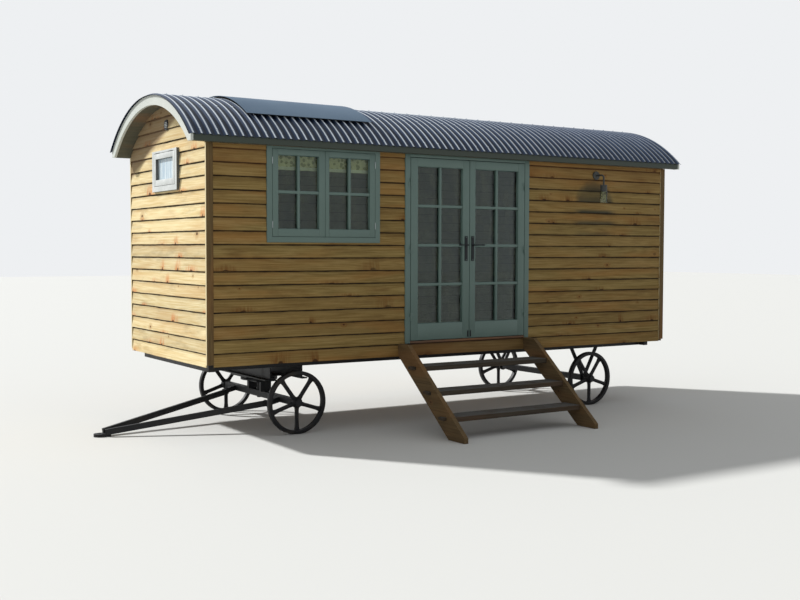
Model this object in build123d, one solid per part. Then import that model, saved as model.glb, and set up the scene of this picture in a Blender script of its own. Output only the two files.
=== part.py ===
from build123d import *
import math
import os

# Shepherds hut on four cast wheels, with a curved roof, double doors, loose steps and a towing bar.
# Millimetres. The hut is laid out about the middle of its body: X along the hut, the door side at -Y,
# the towing bar at -X, Z up from the ground. The last step shifts it to the middle of its own box.

# Body
body_length = 5500
body_width = 1970
underside = 700
wall = 100
floor_thickness = 100
corner_board_width = 65
corner_board_edge = 26
corner_board_proud = 16

# Roof
roof_radius = 1510
roof_edge_half_width = 1070
roof_edge_height = 2677
sheet_depth = 18
sheet_overhang = 180
deck_depth = 80
bargeboard_depth = 90
board_thickness = 25
bargeboard_setback = 20
fascia_height = 63
fascia_outer = 1050
cover_start = -2290
cover_end = -1000
cover_half_angle = 32
cover_depth = 22

# Front window
window_left = -2180
window_width = 1168
window_sill_height = 1762
casement_stile = 56
casement_closing_stile = 62
casement_lapped_stile = 40
casement_top_rail = 52
casement_bottom_rail = 68
blind_drop = 172
blind_thickness = 30
blind_side = 4

# End window
end_window_width = 635
end_window_height = 378
end_window_base = 2237
end_frame_proud = 39
end_sash_stile = 42
end_sash_bottom_rail = 56
gable_fittings_y = -42

# Joinery shared by windows and doors
frame_proud = 21
window_side = 52
window_bottom = 50
window_top = 20
sash_thickness = 45
sash_gap = 3
stop_width = 14
glass_thickness = 14
glass_recess = 28

# Doors
door_left = -728
door_width = 1515
jamb = 57
head = 28
threshold = 20
door_gap = 6
leaf_thickness = 44
leaf_stile = 80
leaf_lapped_stile = 68
leaf_top_rail = 80
leaf_bottom_rail = 160
hinge_pin_radius = 4
hinge_barrel_radius = 6.5
hinge_barrel_length = 38
hinge_barrel_gap = 1
hinge_cap = 3
hinge_plate_width = 28
hinge_plate_thickness = 3
hinge_web = 4
hinge_count = 3
hinge_inset = 230
handle_plate_width = 32
handle_plate_height = 244
handle_plate_below = 157
handle_plate_thickness = 7
handle_height = 923
lever_length = 118
lever_radius = 8
lever_reach = 48

# Chassis
chassis_inset = 80
rail_spacing = 1440
rail_width = 60
rail_depth = 78
end_member_half_width = 830
cross_member_width = 60
cross_member_count = 4

# Wheels and axles
wheel_radius = 292
rim_width = 50
rim_depth = 36
rim_outer_y = 835
spoke_count = 5
spoke_width = 40
spoke_thickness = 20
hub_radius = 50
hub_length = 70
stub_radius = 22
collar_radius = 34
collar_length = 14
hub_gap = 4
axle_height = 60
axle_width = 60
rear_axle_x = 1800
front_axle_x = -1800
guard_thickness = 12
guard_bar = 42
guard_half_spread = 200
guard_boss_radius = 51

# Turntable
bolster_depth = 142
bolster_width = 60
bolster_spacing = 380
bolster_half_length = 600
channel_web = 10
channel_flange = 12
bearing_plate = 12
bearing_plate_half_length = 190
ring_radius = 180
ring_bar = 45
ring_thickness = 16
turntable_gap = 6
pedestal_half_length = 110
pedestal_leg = 40
pedestal_leg_width = 110
pedestal_leg_y = 140
king_pin_radius = 20
king_pin_below_axle = 14

# Towing bar
bar_pivot_x = -1950
bar_pivot_z = 256
bar_root_half_width = 475
bar_tip_x = -3390
bar_tip_z = 40
bar_height = 54
bar_thickness = 26
knuckle_radius = 30
knuckle_length = 44
pivot_pin_radius = 13
pin_proud = 6
lug_gap = 5
lug_thickness = 12
lug_bar = 48
eye_outer_radius = 48
eye_bore_radius = 20
eye_thickness = 28

# Steps
step_rises = 4
step_going = 250
first_nose_y = -1352
step_inset = 14.5
step_offset = -41.5
stringer_thickness = 45
stringer_depth = 190
stringer_top = 800
stringer_foot_y = -2060
nose_margin = 15
tread_depth = 225
tread_thickness = 45
tenon_width = 95
tenon_thickness = 26
tenon_proud = 28

# Lamp and vent
lamp_x = 1710
lamp_plate_z = 2500
lamp_plate_radius = 45
lamp_plate_thickness = 26
lamp_arm_radius = 9
lamp_reach = 136
lamp_bend = 35
cap_top_z = 2395
cap_radius = 36
cap_height = 70
cap_socket = 10
jar_radius = 39
jar_height = 118
vent_below_crown = 277
vent_radius = 50
vent_depth = 22

# Clearances, and how far a cut runs past a face
seat = 0.3
running = 0.05
past = 1

# Worked out from the sizes above
half_length = body_length / 2
half_width = body_width / 2
wall_x = half_length - corner_board_proud
wall_y = half_width - corner_board_proud
inner_x = wall_x - wall
inner_y = wall_y - wall
floor_top = underside + floor_thickness
rail_base = underside - rail_depth
eaves_height = roof_edge_height - fascia_height
roof_centre_z = roof_edge_height - math.sqrt(roof_radius**2 - roof_edge_half_width**2)
deck_outer = roof_radius - sheet_depth - seat
deck_inner = deck_outer - deck_depth
wall_top_radius = deck_inner - seat
sheet_half_length = half_length + sheet_overhang
chassis_half_length = half_length - chassis_inset
barge_outer_x = sheet_half_length - bargeboard_setback
deck_half_length = barge_outer_x - board_thickness
fascia_inner = fascia_outer - board_thickness
axle_top = wheel_radius + axle_height / 2
axle_bottom = wheel_radius - axle_height / 2
bolster_base = rail_base - bolster_depth
fixed_ring_base = bolster_base - bearing_plate - ring_thickness
moving_ring_base = fixed_ring_base - turntable_gap - ring_thickness
door_right = door_left + door_width
frame_face = -(wall_y + frame_proud)
threshold_top = floor_top + threshold
leaf_base = threshold_top + door_gap
head_base = eaves_height - head
leaf_height = head_base - door_gap - leaf_base
leaf_width = (door_width - 2 * jamb - 3 * door_gap) / 2
opening_left = door_left + jamb
opening_right = door_right - jamb
hinge_axis_y = frame_face - hinge_barrel_radius - hinge_barrel_gap
step_rise = threshold_top / step_rises
track = rim_outer_y - rim_width / 2


def block(x0, x1, y0, y1, z0, z1):
    """A box between two corners."""
    size = (abs(x1 - x0), abs(y1 - y0), abs(z1 - z0))
    middle = ((x0 + x1) / 2, (y0 + y1) / 2, (z0 + z1) / 2)
    return Pos(*middle) * Box(*size)


def rod_x(x0, x1, y, z, radius):
    return Pos((x0 + x1) / 2, y, z) * Rot(0, 90, 0) * Cylinder(radius, abs(x1 - x0))


def rod_y(x, y0, y1, z, radius):
    return Pos(x, (y0 + y1) / 2, z) * Rot(90, 0, 0) * Cylinder(radius, abs(y1 - y0))


def rod_z(x, y, z0, z1, radius):
    return Pos(x, y, (z0 + z1) / 2) * Cylinder(radius, abs(z1 - z0))


def roof_rod(half, radius):
    """The cylinder about the roof's centre line that its layers and the wall tops are cut from."""
    return rod_x(-half, half, 0, roof_centre_z, radius)


def roof_shell(x0, x1, inner, outer, half_span, base):
    """A length of curved layer between two radii, cut to a width and to a level base."""
    ring = rod_x(x0, x1, 0, roof_centre_z, outer) - rod_x(x0 - past, x1 + past, 0, roof_centre_z, inner)
    return ring & block(x0, x1, -half_span, half_span, base, roof_centre_z + outer + past)


def plate_yz(points, x0, x1):
    """A flat plate with an outline in Y and Z, between two X faces."""
    face = Face(Wire.make_polygon([Vector(x0, y, z) for y, z in points], close=True))
    return extrude(face, amount=x1 - x0, dir=(1, 0, 0))


def plate_xz(points, y0, y1):
    """A flat plate with an outline in X and Z, between two Y faces."""
    face = Face(Wire.make_polygon([Vector(x, y0, z) for x, z in points], close=True))
    return extrude(face, amount=y1 - y0, dir=(0, 1, 0))


def bar_xz(start, end, width, y0, y1):
    """A straight flat bar in the XZ plane from one point to another."""
    dx = end[0] - start[0]
    dz = end[1] - start[1]
    length = math.hypot(dx, dz)
    nx = -dz / length * width / 2
    nz = dx / length * width / 2
    points = [(start[0] + nx, start[1] + nz), (end[0] + nx, end[1] + nz)]
    points += [(end[0] - nx, end[1] - nz), (start[0] - nx, start[1] - nz)]
    return plate_xz(points, y0, y1)


# Walls, floor and corners
def under_roof(x0, x1, y0, y1, z0):
    """A wall whose top follows the underside of the roof."""
    top = roof_centre_z + roof_radius
    overhead = block(x0, x1, y0, y1, roof_centre_z, top) - roof_rod(sheet_half_length, wall_top_radius)
    return block(x0, x1, y0, y1, z0, top) - overhead


def make_walls():
    front = (-wall_y, -inner_y)
    left = under_roof(-inner_x, door_left, *front, underside)
    window_right = window_left + window_width
    left -= block(window_left, window_right, *front, window_sill_height, eaves_height)
    right = under_roof(door_right, inner_x, *front, underside)
    over = under_roof(door_left, door_right, *front, eaves_height)
    under = block(door_left, door_right, *front, underside, floor_top)
    back = under_roof(-inner_x, inner_x, inner_y, wall_y, underside)
    left_end = under_roof(-wall_x, -inner_x, -wall_y, wall_y, underside)
    opening_y = (gable_fittings_y - end_window_width / 2, gable_fittings_y + end_window_width / 2)
    window_top_z = end_window_base + end_window_height
    left_end -= block(-wall_x, -inner_x, *opening_y, end_window_base, window_top_z)
    right_end = under_roof(inner_x, wall_x, -wall_y, wall_y, underside)
    return {
        "front_wall_left": left,
        "front_wall_right": right,
        "front_wall_over_door": over,
        "front_wall_under_door": under,
        "back_wall": back,
        "left_end_wall": left_end,
        "right_end_wall": right_end,
    }


def make_corner_boards():
    """A board round each corner: wide on the long side, its edge on the end, as proud as the boarding."""
    boards = []
    body = block(-wall_x, wall_x, -wall_y, wall_y, underside, eaves_height)
    for sx in (-1, 1):
        for sy in (-1, 1):
            corner_x = (sx * half_length, sx * (half_length - corner_board_width))
            corner_y = (sy * half_width, sy * (half_width - corner_board_edge))
            boards.append(block(*corner_x, *corner_y, underside, eaves_height) - body)
    return boards


# Roof
def make_roof():
    deck = roof_shell(-deck_half_length, deck_half_length, deck_inner, deck_outer, fascia_inner, eaves_height)
    sheet = roof_shell(
        -sheet_half_length, sheet_half_length, roof_radius - sheet_depth, roof_radius,
        roof_edge_half_width, roof_centre_z)
    cover_radius = roof_radius + seat + cover_depth
    reach = cover_radius * math.sin(math.radians(cover_half_angle))
    cover = roof_shell(cover_start, cover_end, roof_radius + seat, cover_radius, reach, roof_centre_z)
    barge_inner = deck_outer - bargeboard_depth
    boards = []
    for x0, x1 in ((-barge_outer_x, -deck_half_length), (deck_half_length, barge_outer_x)):
        boards.append(roof_shell(x0, x1, barge_inner, deck_outer, fascia_outer, eaves_height))
    fascias = []
    for side in (-1, 1):
        strip = block(
            -deck_half_length, deck_half_length, side * fascia_inner, side * fascia_outer,
            eaves_height, roof_edge_height)
        fascias.append(strip & roof_rod(sheet_half_length, deck_outer))
    return {
        "roof_deck": deck,
        "roof_sheet": sheet,
        "roof_cover": cover,
        "bargeboards": boards,
        "eaves_fascias": fascias,
    }


# Windows
def make_window(left, right, low, high, face, back, stiles, bottom_rail):
    """A rebated frame facing -Y, with a sash and its glass for each pair of stiles."""
    frame = block(left, right, face, back, low, high)
    x0 = left + window_side
    x1 = right - window_side
    z0 = low + window_bottom
    z1 = high - window_top
    sash_back = face + sash_thickness
    frame -= block(x0, x1, face, sash_back, z0, z1)
    lip = stop_width
    frame -= block(x0 + lip, x1 - lip, sash_back, back, z0 + lip, z1 - lip)
    sash_width = (x1 - x0 - (len(stiles) + 1) * sash_gap) / len(stiles)
    sashes = []
    panes = []
    for index, (left_stile, right_stile) in enumerate(stiles):
        edge = x0 + sash_gap + index * (sash_width + sash_gap)
        foot = z0 + sash_gap
        top = z1 - sash_gap
        glass_x = (edge + left_stile, edge + sash_width - right_stile)
        glass_y = (face + glass_recess, face + glass_recess + glass_thickness)
        glass_z = (foot + bottom_rail, top - casement_top_rail)
        sash = block(edge, edge + sash_width, face, sash_back, foot, top)
        sashes.append(sash - block(*glass_x, face, sash_back, *glass_z))
        panes.append(block(*glass_x, *glass_y, *glass_z))
    return frame, sashes, panes


def make_front_window():
    """A pair of casements, where the left one closes over the right one."""
    stiles = [(casement_stile, casement_closing_stile), (casement_lapped_stile, casement_stile)]
    return make_window(
        window_left, window_left + window_width, window_sill_height, eaves_height, frame_face, -inner_y,
        stiles, casement_bottom_rail)


def make_end_window():
    """One sash, laid out like the front window and then turned to face the towing end."""
    left = -gable_fittings_y - end_window_width / 2
    frame, sashes, panes = make_window(
        left, left + end_window_width, end_window_base, end_window_base + end_window_height,
        -(wall_x + end_frame_proud), -inner_x, [(end_sash_stile, end_sash_stile)], end_sash_bottom_rail)
    turn = Rot(0, 0, -90)
    return turn * frame, turn * sashes[0], turn * panes[0]


def make_blind():
    """A fabric blind drawn up under the head of the front window, in the reveal behind the casements."""
    gap = window_side + stop_width + blind_side
    middle = -inner_y - (wall + frame_proud - sash_thickness) / 2
    top = eaves_height - window_top - stop_width - seat
    return block(
        window_left + gap, window_left + window_width - gap, middle - blind_thickness / 2,
        middle + blind_thickness / 2, top - blind_drop, top)


# Doors
def make_door_frame():
    back_y = -inner_y
    frame = block(door_left, door_right, frame_face, back_y, floor_top, eaves_height)
    stop_front = frame_face + leaf_thickness + door_gap
    frame -= block(opening_left, opening_right, frame_face, stop_front, threshold_top, head_base)
    s = stop_width
    frame -= block(opening_left + s, opening_right - s, stop_front, back_y, threshold_top, head_base - s)
    return frame


def hinge_heights():
    first = leaf_base + hinge_inset
    last = leaf_base + leaf_height - hinge_inset
    step = (last - first) / (hinge_count - 1)
    return [first + index * step for index in range(hinge_count)]


def make_frame_hinge(axis_x, side, z):
    """The half screwed to the jamb: a plate, the lower barrel and the pin that stands on it."""
    low = z - hinge_barrel_length
    pin_top = z + hinge_barrel_length - hinge_cap - hinge_barrel_gap
    plate_y = (frame_face - hinge_plate_thickness, frame_face)
    barrel = rod_z(axis_x, hinge_axis_y, low, z - seat, hinge_barrel_radius)
    pin = rod_z(axis_x, hinge_axis_y, low, pin_top, hinge_pin_radius)
    plate = block(axis_x, axis_x + side * hinge_plate_width, *plate_y, low, z - seat)
    web = block(axis_x, axis_x + side * hinge_web, hinge_axis_y, frame_face - seat, low, z - seat)
    return barrel + pin + plate + web


def make_leaf_hinge(axis_x, side, z):
    """The half screwed to the leaf: a plate and the upper barrel, bored for the pin."""
    high = z + hinge_barrel_length
    plate_y = (frame_face - hinge_plate_thickness, frame_face)
    barrel = rod_z(axis_x, hinge_axis_y, z + seat, high, hinge_barrel_radius)
    plate = block(axis_x, axis_x - side * hinge_plate_width, *plate_y, z + seat, high)
    web = block(axis_x, axis_x - side * hinge_web, hinge_axis_y, frame_face - seat, z + seat, high)
    bore = rod_z(axis_x, hinge_axis_y, z, high - hinge_cap, hinge_pin_radius + running)
    return barrel + plate + web - bore


def meeting_stile(side):
    """The left leaf closes over the right one, whose meeting stile shows narrower."""
    return leaf_stile if side < 0 else leaf_lapped_stile


def handle_axis(side):
    """X of a lever's spindle, on the meeting stile of the leaf at that side."""
    middle = (opening_left + opening_right) / 2
    return middle + side * (door_gap + meeting_stile(side)) / 2


def make_door(side):
    """One leaf with its glass, hinges, handle plate and lever. side is -1 at the left, 1 at the right."""
    hinge_edge = opening_left + door_gap if side < 0 else opening_right - door_gap
    meeting_edge = hinge_edge - side * leaf_width
    top = leaf_base + leaf_height
    back = frame_face + leaf_thickness
    leaf = block(hinge_edge, meeting_edge, frame_face, back, leaf_base, top)
    glass_x = (hinge_edge - side * leaf_stile, meeting_edge + side * meeting_stile(side))
    glass_z = (leaf_base + leaf_bottom_rail, top - leaf_top_rail)
    leaf -= block(*glass_x, frame_face, back, *glass_z)
    glass = block(*glass_x, frame_face + glass_recess, frame_face + glass_recess + glass_thickness, *glass_z)
    axis_x = hinge_edge + side * door_gap / 2
    hinges = [make_leaf_hinge(axis_x, side, z) for z in hinge_heights()]
    x = handle_axis(side)
    spindle_z = leaf_base + handle_height
    plate_front = frame_face - handle_plate_thickness
    plate_low = spindle_z - handle_plate_below
    plate = block(
        x - handle_plate_width / 2, x + handle_plate_width / 2, plate_front, frame_face,
        plate_low, plate_low + handle_plate_height)
    plate -= rod_y(x, plate_front - past, frame_face, spindle_z, lever_radius + running)
    neck = rod_y(x, frame_face - seat, frame_face - lever_reach, spindle_z, lever_radius)
    grip = rod_x(x, x + side * lever_length, frame_face - lever_reach, spindle_z, lever_radius)
    elbow = Pos(x, frame_face - lever_reach, spindle_z) * Sphere(lever_radius)
    return leaf, glass, hinges, plate, neck + grip + elbow


def make_frame_hinges():
    left_axis = opening_left + door_gap / 2
    right_axis = opening_right - door_gap / 2
    halves = []
    for axis_x, side in ((left_axis, -1), (right_axis, 1)):
        halves += [make_frame_hinge(axis_x, side, z) for z in hinge_heights()]
    return halves


# Chassis, axles and wheels
def make_chassis():
    """Two long rails between the end members, and cross members between the rails."""
    span = chassis_half_length - rail_width
    rail_y = rail_spacing / 2
    rails = []
    members = []
    for side in (-1, 1):
        y0 = side * rail_y - rail_width / 2
        rails.append(block(-span, span, y0, y0 + rail_width, rail_base, underside))
        end_x = (side * span, side * chassis_half_length)
        members.append(block(*end_x, -end_member_half_width, end_member_half_width, rail_base, underside))
    inside = rail_y - rail_width / 2
    half = cross_member_width / 2
    over_bolster = front_axle_x + bolster_spacing / 2
    places = [over_bolster - bolster_spacing, over_bolster]
    pitch = (span - over_bolster) / (cross_member_count + 1)
    places += [over_bolster + pitch * (index + 1) for index in range(cross_member_count)]
    for x in places:
        members.append(block(x - half, x + half, -inside, inside, rail_base, underside))
    return rails, members


def make_axle(x):
    """A square beam with round ends that run in the hubs, and a collar outside each hub."""
    beam_end = track - hub_length / 2 - hub_gap
    collar_inner = track + hub_length / 2 + hub_gap
    collar_outer = collar_inner + collar_length
    half = axle_width / 2
    beam = block(x - half, x + half, -beam_end, beam_end, axle_bottom, axle_top)
    beam += rod_y(x, -collar_outer, collar_outer, wheel_radius, stub_radius)
    for side in (-1, 1):
        beam += rod_y(x, side * collar_inner, side * collar_outer, wheel_radius, collar_radius)
    return beam


def make_wheel(x, side):
    """A cast wheel: flat rim, straight spokes and a long hub bored for the axle."""
    y = side * track
    half = rim_width / 2
    rim_inner = wheel_radius - rim_depth
    rim = rod_y(x, y - half, y + half, wheel_radius, wheel_radius)
    rim -= rod_y(x, y - half - past, y + half + past, wheel_radius, rim_inner)
    wheel = rim + rod_y(x, y - hub_length / 2, y + hub_length / 2, wheel_radius, hub_radius)
    root = (stub_radius + hub_radius) / 2
    reach = rim_inner + rim_depth / 2
    for index in range(spoke_count):
        angle = math.radians(index * 360 / spoke_count - 90)
        start = (x + root * math.cos(angle), wheel_radius + root * math.sin(angle))
        end = (x + reach * math.cos(angle), wheel_radius + reach * math.sin(angle))
        wheel += bar_xz(start, end, spoke_width, y - spoke_thickness / 2, y + spoke_thickness / 2)
    return wheel - rod_y(x, y - hub_length, y + hub_length, wheel_radius, stub_radius + running)


def make_axle_guards():
    """A V of flat bar each side, from the chassis rail down to the rear axle."""
    guards = []
    reach = 2 * guard_half_spread
    half = axle_width / 2
    for side in (-1, 1):
        y0 = side * rail_spacing / 2 - guard_thickness / 2
        y1 = y0 + guard_thickness
        guard = rod_y(rear_axle_x, y0, y1, wheel_radius, guard_boss_radius)
        for lean in (-1, 1):
            top = (rear_axle_x + lean * guard_half_spread, rail_base + guard_bar)
            guard += bar_xz((rear_axle_x, wheel_radius), top, guard_bar, y0, y1)
        guard &= block(rear_axle_x - reach, rear_axle_x + reach, y0, y1, 0, rail_base)
        guard -= block(rear_axle_x - half, rear_axle_x + half, y0, y1, axle_bottom, axle_top)
        guards.append(guard)
    return guards


def turning_ring(base):
    outer = rod_z(front_axle_x, 0, base, base + ring_thickness, ring_radius)
    return outer - rod_z(front_axle_x, 0, base - past, base + ring_thickness + past, ring_radius - ring_bar)


def make_turntable_frame():
    """Fixed half: two steel channels across the chassis, a bearing plate, the upper ring and the king pin."""
    frame = turning_ring(fixed_ring_base)
    plate_half = (bolster_spacing + bolster_width) / 2
    frame += block(
        front_axle_x - plate_half, front_axle_x + plate_half, -bearing_plate_half_length,
        bearing_plate_half_length, bolster_base - bearing_plate, bolster_base)
    for side in (-1, 1):
        inner = front_axle_x + side * (bolster_spacing - bolster_width) / 2
        outer = inner + side * bolster_width
        frame += block(inner, outer, -bolster_half_length, bolster_half_length, bolster_base, rail_base)
        frame -= block(
            inner + side * channel_web, outer, -bolster_half_length, bolster_half_length,
            bolster_base + channel_flange, rail_base - channel_flange)
    return frame + rod_z(front_axle_x, 0, axle_bottom - king_pin_below_axle, bolster_base, king_pin_radius)


def make_front_axle():
    """Turning half: the lower ring on two legs, the axle beam under it, and the lugs of the towing bar."""
    plate_base = moving_ring_base - bearing_plate
    half = pedestal_half_length
    leg_half = pedestal_leg_width / 2
    axle = make_axle(front_axle_x) + turning_ring(moving_ring_base)
    axle += block(
        front_axle_x - half, front_axle_x + half, -ring_radius, ring_radius, plate_base, moving_ring_base)
    lug_y = bar_root_half_width + knuckle_length / 2 + lug_gap
    pin_end = bar_root_half_width - knuckle_length / 2 - pin_proud
    for side in (-1, 1):
        leg_y = (side * (pedestal_leg_y - pedestal_leg / 2), side * (pedestal_leg_y + pedestal_leg / 2))
        axle += block(front_axle_x - leg_half, front_axle_x + leg_half, *leg_y, axle_top, plate_base)
        faces = sorted((side * lug_y, side * (lug_y + lug_thickness)))
        axle += bar_xz((bar_pivot_x, bar_pivot_z), (front_axle_x, wheel_radius), lug_bar, *faces)
        axle += rod_y(bar_pivot_x, *faces, bar_pivot_z, knuckle_radius)
        axle += rod_y(bar_pivot_x, side * pin_end, side * lug_y, bar_pivot_z, pivot_pin_radius)
    return axle - rod_z(front_axle_x, 0, 0, moving_ring_base + past, king_pin_radius + running)


def make_towing_bar():
    """Two flat bars from the lugs of the front axle, meeting at a level plate with the towing eye."""
    arms = []
    tip_y = eye_outer_radius - bar_thickness / 2 - seat
    reach = 2 * bar_root_half_width
    for side in (-1, 1):
        root = Vector(bar_pivot_x, side * bar_root_half_width, bar_pivot_z)
        tip = Vector(bar_tip_x + eye_outer_radius, side * tip_y, bar_tip_z)
        direction = (tip - root).normalized()
        across = Vector(0, 0, 1).cross(direction).normalized()
        section = Plane(origin=root, x_dir=across, z_dir=direction)
        arm = extrude(section * Rectangle(bar_thickness, bar_height), amount=(tip - root).length)
        faces = (root.Y - knuckle_length / 2, root.Y + knuckle_length / 2)
        arm += rod_y(bar_pivot_x, *faces, bar_pivot_z, knuckle_radius)
        arm -= rod_y(bar_pivot_x, faces[0] - past, faces[1] + past, bar_pivot_z, pivot_pin_radius + running)
        arm &= block(bar_tip_x, bar_pivot_x + reach, side * reach, side * seat, 0, underside)
        arms.append(arm)
    eye = rod_z(bar_tip_x, 0, 0, eye_thickness, eye_outer_radius)
    eye += block(
        bar_tip_x, bar_tip_x + 2 * eye_outer_radius, -eye_outer_radius, eye_outer_radius, 0, eye_thickness)
    eye -= rod_z(bar_tip_x, 0, -past, eye_thickness + past, eye_bore_radius)
    for arm in arms:
        eye -= arm
    return arms, eye


# Steps
def stringer_outline():
    """A stringer's outline in Y and Z: its front edge runs a little before the treads' noses."""
    slope = step_rise / step_going
    front_y = first_nose_y - nose_margin
    front_z = threshold_top - step_rise
    drop = stringer_depth * math.sqrt(1 + slope**2)
    back_y = -wall_y
    back_z = front_z + (back_y - front_y) * slope - drop
    top_y = front_y + (stringer_top - front_z) / slope
    toe_z = front_z + (stringer_foot_y - front_y) * slope
    heel_y = front_y + (drop - front_z) / slope
    return [
        (back_y, stringer_top), (top_y, stringer_top), (stringer_foot_y, toe_z),
        (stringer_foot_y, 0), (heel_y, 0), (back_y, back_z)]


def make_steps():
    """Two stringers just inside the edges of the door frame, and treads whose tenons run through them."""
    tread_x = (door_left + step_inset + step_offset, door_right - step_inset + step_offset)
    outline = stringer_outline()
    stringers = [
        plate_yz(outline, tread_x[0] - stringer_thickness, tread_x[0]),
        plate_yz(outline, tread_x[1], tread_x[1] + stringer_thickness)]
    tenon_x = (tread_x[0] - stringer_thickness - tenon_proud, tread_x[1] + stringer_thickness + tenon_proud)
    treads = []
    for index in range(step_rises - 1):
        nose_y = first_nose_y - index * step_going
        top_z = threshold_top - (index + 1) * step_rise
        tread = block(*tread_x, nose_y, nose_y + tread_depth, top_z - tread_thickness, top_z)
        middle_y = nose_y + tread_depth / 2
        middle_z = top_z - tread_thickness / 2
        y = (middle_y - tenon_width / 2, middle_y + tenon_width / 2)
        z = (middle_z - tenon_thickness / 2, middle_z + tenon_thickness / 2)
        treads.append(tread + block(*tenon_x, *y, *z))
        mortise = block(*tenon_x, y[0] - seat, y[1] + seat, z[0] - seat, z[1] + seat)
        stringers = [stringer - mortise for stringer in stringers]
    return stringers, treads


# Lamp and vent
def make_lamp():
    plate = rod_y(lamp_x, -wall_y, -wall_y - lamp_plate_thickness, lamp_plate_z, lamp_plate_radius)
    hang_y = -wall_y - lamp_reach
    path = FilletPolyline(
        (lamp_x, -wall_y - lamp_plate_thickness / 2, lamp_plate_z),
        (lamp_x, hang_y, lamp_plate_z),
        (lamp_x, hang_y, cap_top_z - cap_socket),
        radius=lamp_bend)
    start = Plane(origin=path @ 0, z_dir=path % 0)
    arm = sweep(start * Circle(lamp_arm_radius), path=path)
    cap = rod_z(lamp_x, hang_y, cap_top_z - cap_height, cap_top_z, cap_radius)
    jar_top = cap_top_z - cap_height
    jar = rod_z(lamp_x, hang_y, jar_top - jar_height, jar_top, jar_radius)
    return plate + arm + cap, jar


def make_vent():
    z = roof_centre_z + roof_radius - vent_below_crown
    return rod_x(-wall_x, -wall_x - vent_depth, gable_fittings_y, z, vent_radius)


def assemble():
    """Every node's solids, in the hut's own frame."""
    pieces = {}
    pieces.update(make_walls())
    pieces["corner_boards"] = make_corner_boards()
    pieces["floor"] = block(-inner_x, inner_x, -inner_y, inner_y, underside, floor_top)
    pieces.update(make_roof())
    front_frame, casements, panes = make_front_window()
    end_frame, end_sash, end_pane = make_end_window()
    pieces["front_window_frame"] = front_frame
    pieces["end_window_frame"] = end_frame
    pieces["window_sashes"] = casements + [end_sash]
    pieces["window_glass"] = panes + [end_pane]
    pieces["window_blind"] = make_blind()
    pieces["door_frame"] = make_door_frame()
    pieces["door_hinge_pins"] = make_frame_hinges()
    for name, side in (("left", -1), ("right", 1)):
        leaf, glass, hinges, plate, lever = make_door(side)
        pieces[name + "_door_leaf"] = leaf
        pieces[name + "_door_glass"] = glass
        pieces[name + "_door_hinges"] = hinges
        pieces[name + "_door_plate"] = plate
        pieces[name + "_door_lever"] = lever
    rails, members = make_chassis()
    pieces["chassis_rails"] = rails
    pieces["chassis_cross_members"] = members
    pieces["turntable_frame"] = make_turntable_frame()
    pieces["front_axle"] = make_front_axle()
    pieces["rear_axle"] = make_axle(rear_axle_x)
    pieces["rear_axle_guards"] = make_axle_guards()
    for name, x, side in (
        ("front_near_wheel", front_axle_x, -1), ("front_far_wheel", front_axle_x, 1),
        ("rear_near_wheel", rear_axle_x, -1), ("rear_far_wheel", rear_axle_x, 1),
    ):
        pieces[name] = make_wheel(x, side)
    arms, eye = make_towing_bar()
    pieces["towing_bar_arms"] = arms
    pieces["towing_eye"] = eye
    stringers, treads = make_steps()
    pieces["step_stringers"] = stringers
    pieces["step_treads"] = treads
    bracket, jar = make_lamp()
    pieces["lamp_bracket"] = bracket
    pieces["lamp_jar"] = jar
    pieces["gable_vent"] = make_vent()
    return pieces


def row_shift():
    """From the middle of the body to the middle of the whole part's box, on the ground."""
    low_x = bar_tip_x - eye_outer_radius
    high_x = sheet_half_length
    low_y = stringer_foot_y
    high_y = roof_edge_half_width
    return Vector(-(low_x + high_x) / 2, -(low_y + high_y) / 2, 0)


shift = row_shift()
os.makedirs("parts", exist_ok=True)
for name, made in assemble().items():
    solids = []
    for item in made if isinstance(made, list) else [made]:
        solids += item.solids()
    moved = [solid.translate(shift) for solid in solids]
    shape = moved[0] if len(moved) == 1 else Compound(children=moved)
    export_step(shape, os.path.join("parts", name + ".step"))
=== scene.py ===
import math
import random

import bmesh
import bpy
from mathutils import Matrix, Vector, noise


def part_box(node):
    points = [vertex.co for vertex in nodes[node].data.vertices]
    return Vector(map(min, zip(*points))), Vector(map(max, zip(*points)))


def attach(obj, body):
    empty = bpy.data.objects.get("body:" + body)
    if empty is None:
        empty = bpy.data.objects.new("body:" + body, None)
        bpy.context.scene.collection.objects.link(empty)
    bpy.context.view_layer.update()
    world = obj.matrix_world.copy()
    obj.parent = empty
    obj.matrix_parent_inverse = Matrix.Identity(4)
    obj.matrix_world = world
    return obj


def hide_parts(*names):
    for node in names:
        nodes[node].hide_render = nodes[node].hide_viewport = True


# The frame
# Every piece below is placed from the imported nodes, in metres: X along the hut, the door side at -Y,
# the towing bar at -X, Z up from the ground.
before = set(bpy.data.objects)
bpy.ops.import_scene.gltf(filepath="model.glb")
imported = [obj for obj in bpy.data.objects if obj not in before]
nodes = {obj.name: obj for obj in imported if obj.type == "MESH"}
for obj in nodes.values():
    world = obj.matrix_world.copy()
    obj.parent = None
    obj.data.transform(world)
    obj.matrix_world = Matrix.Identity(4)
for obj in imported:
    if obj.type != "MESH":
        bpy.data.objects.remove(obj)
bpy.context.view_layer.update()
body_low, body_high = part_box("corner_boards")


def middle(node, axis):
    """The middle of a node's box along one axis."""
    low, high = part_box(node)
    return (low[axis] + high[axis]) / 2


middle_x = middle("corner_boards", 0)
middle_y = middle("corner_boards", 1)


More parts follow.
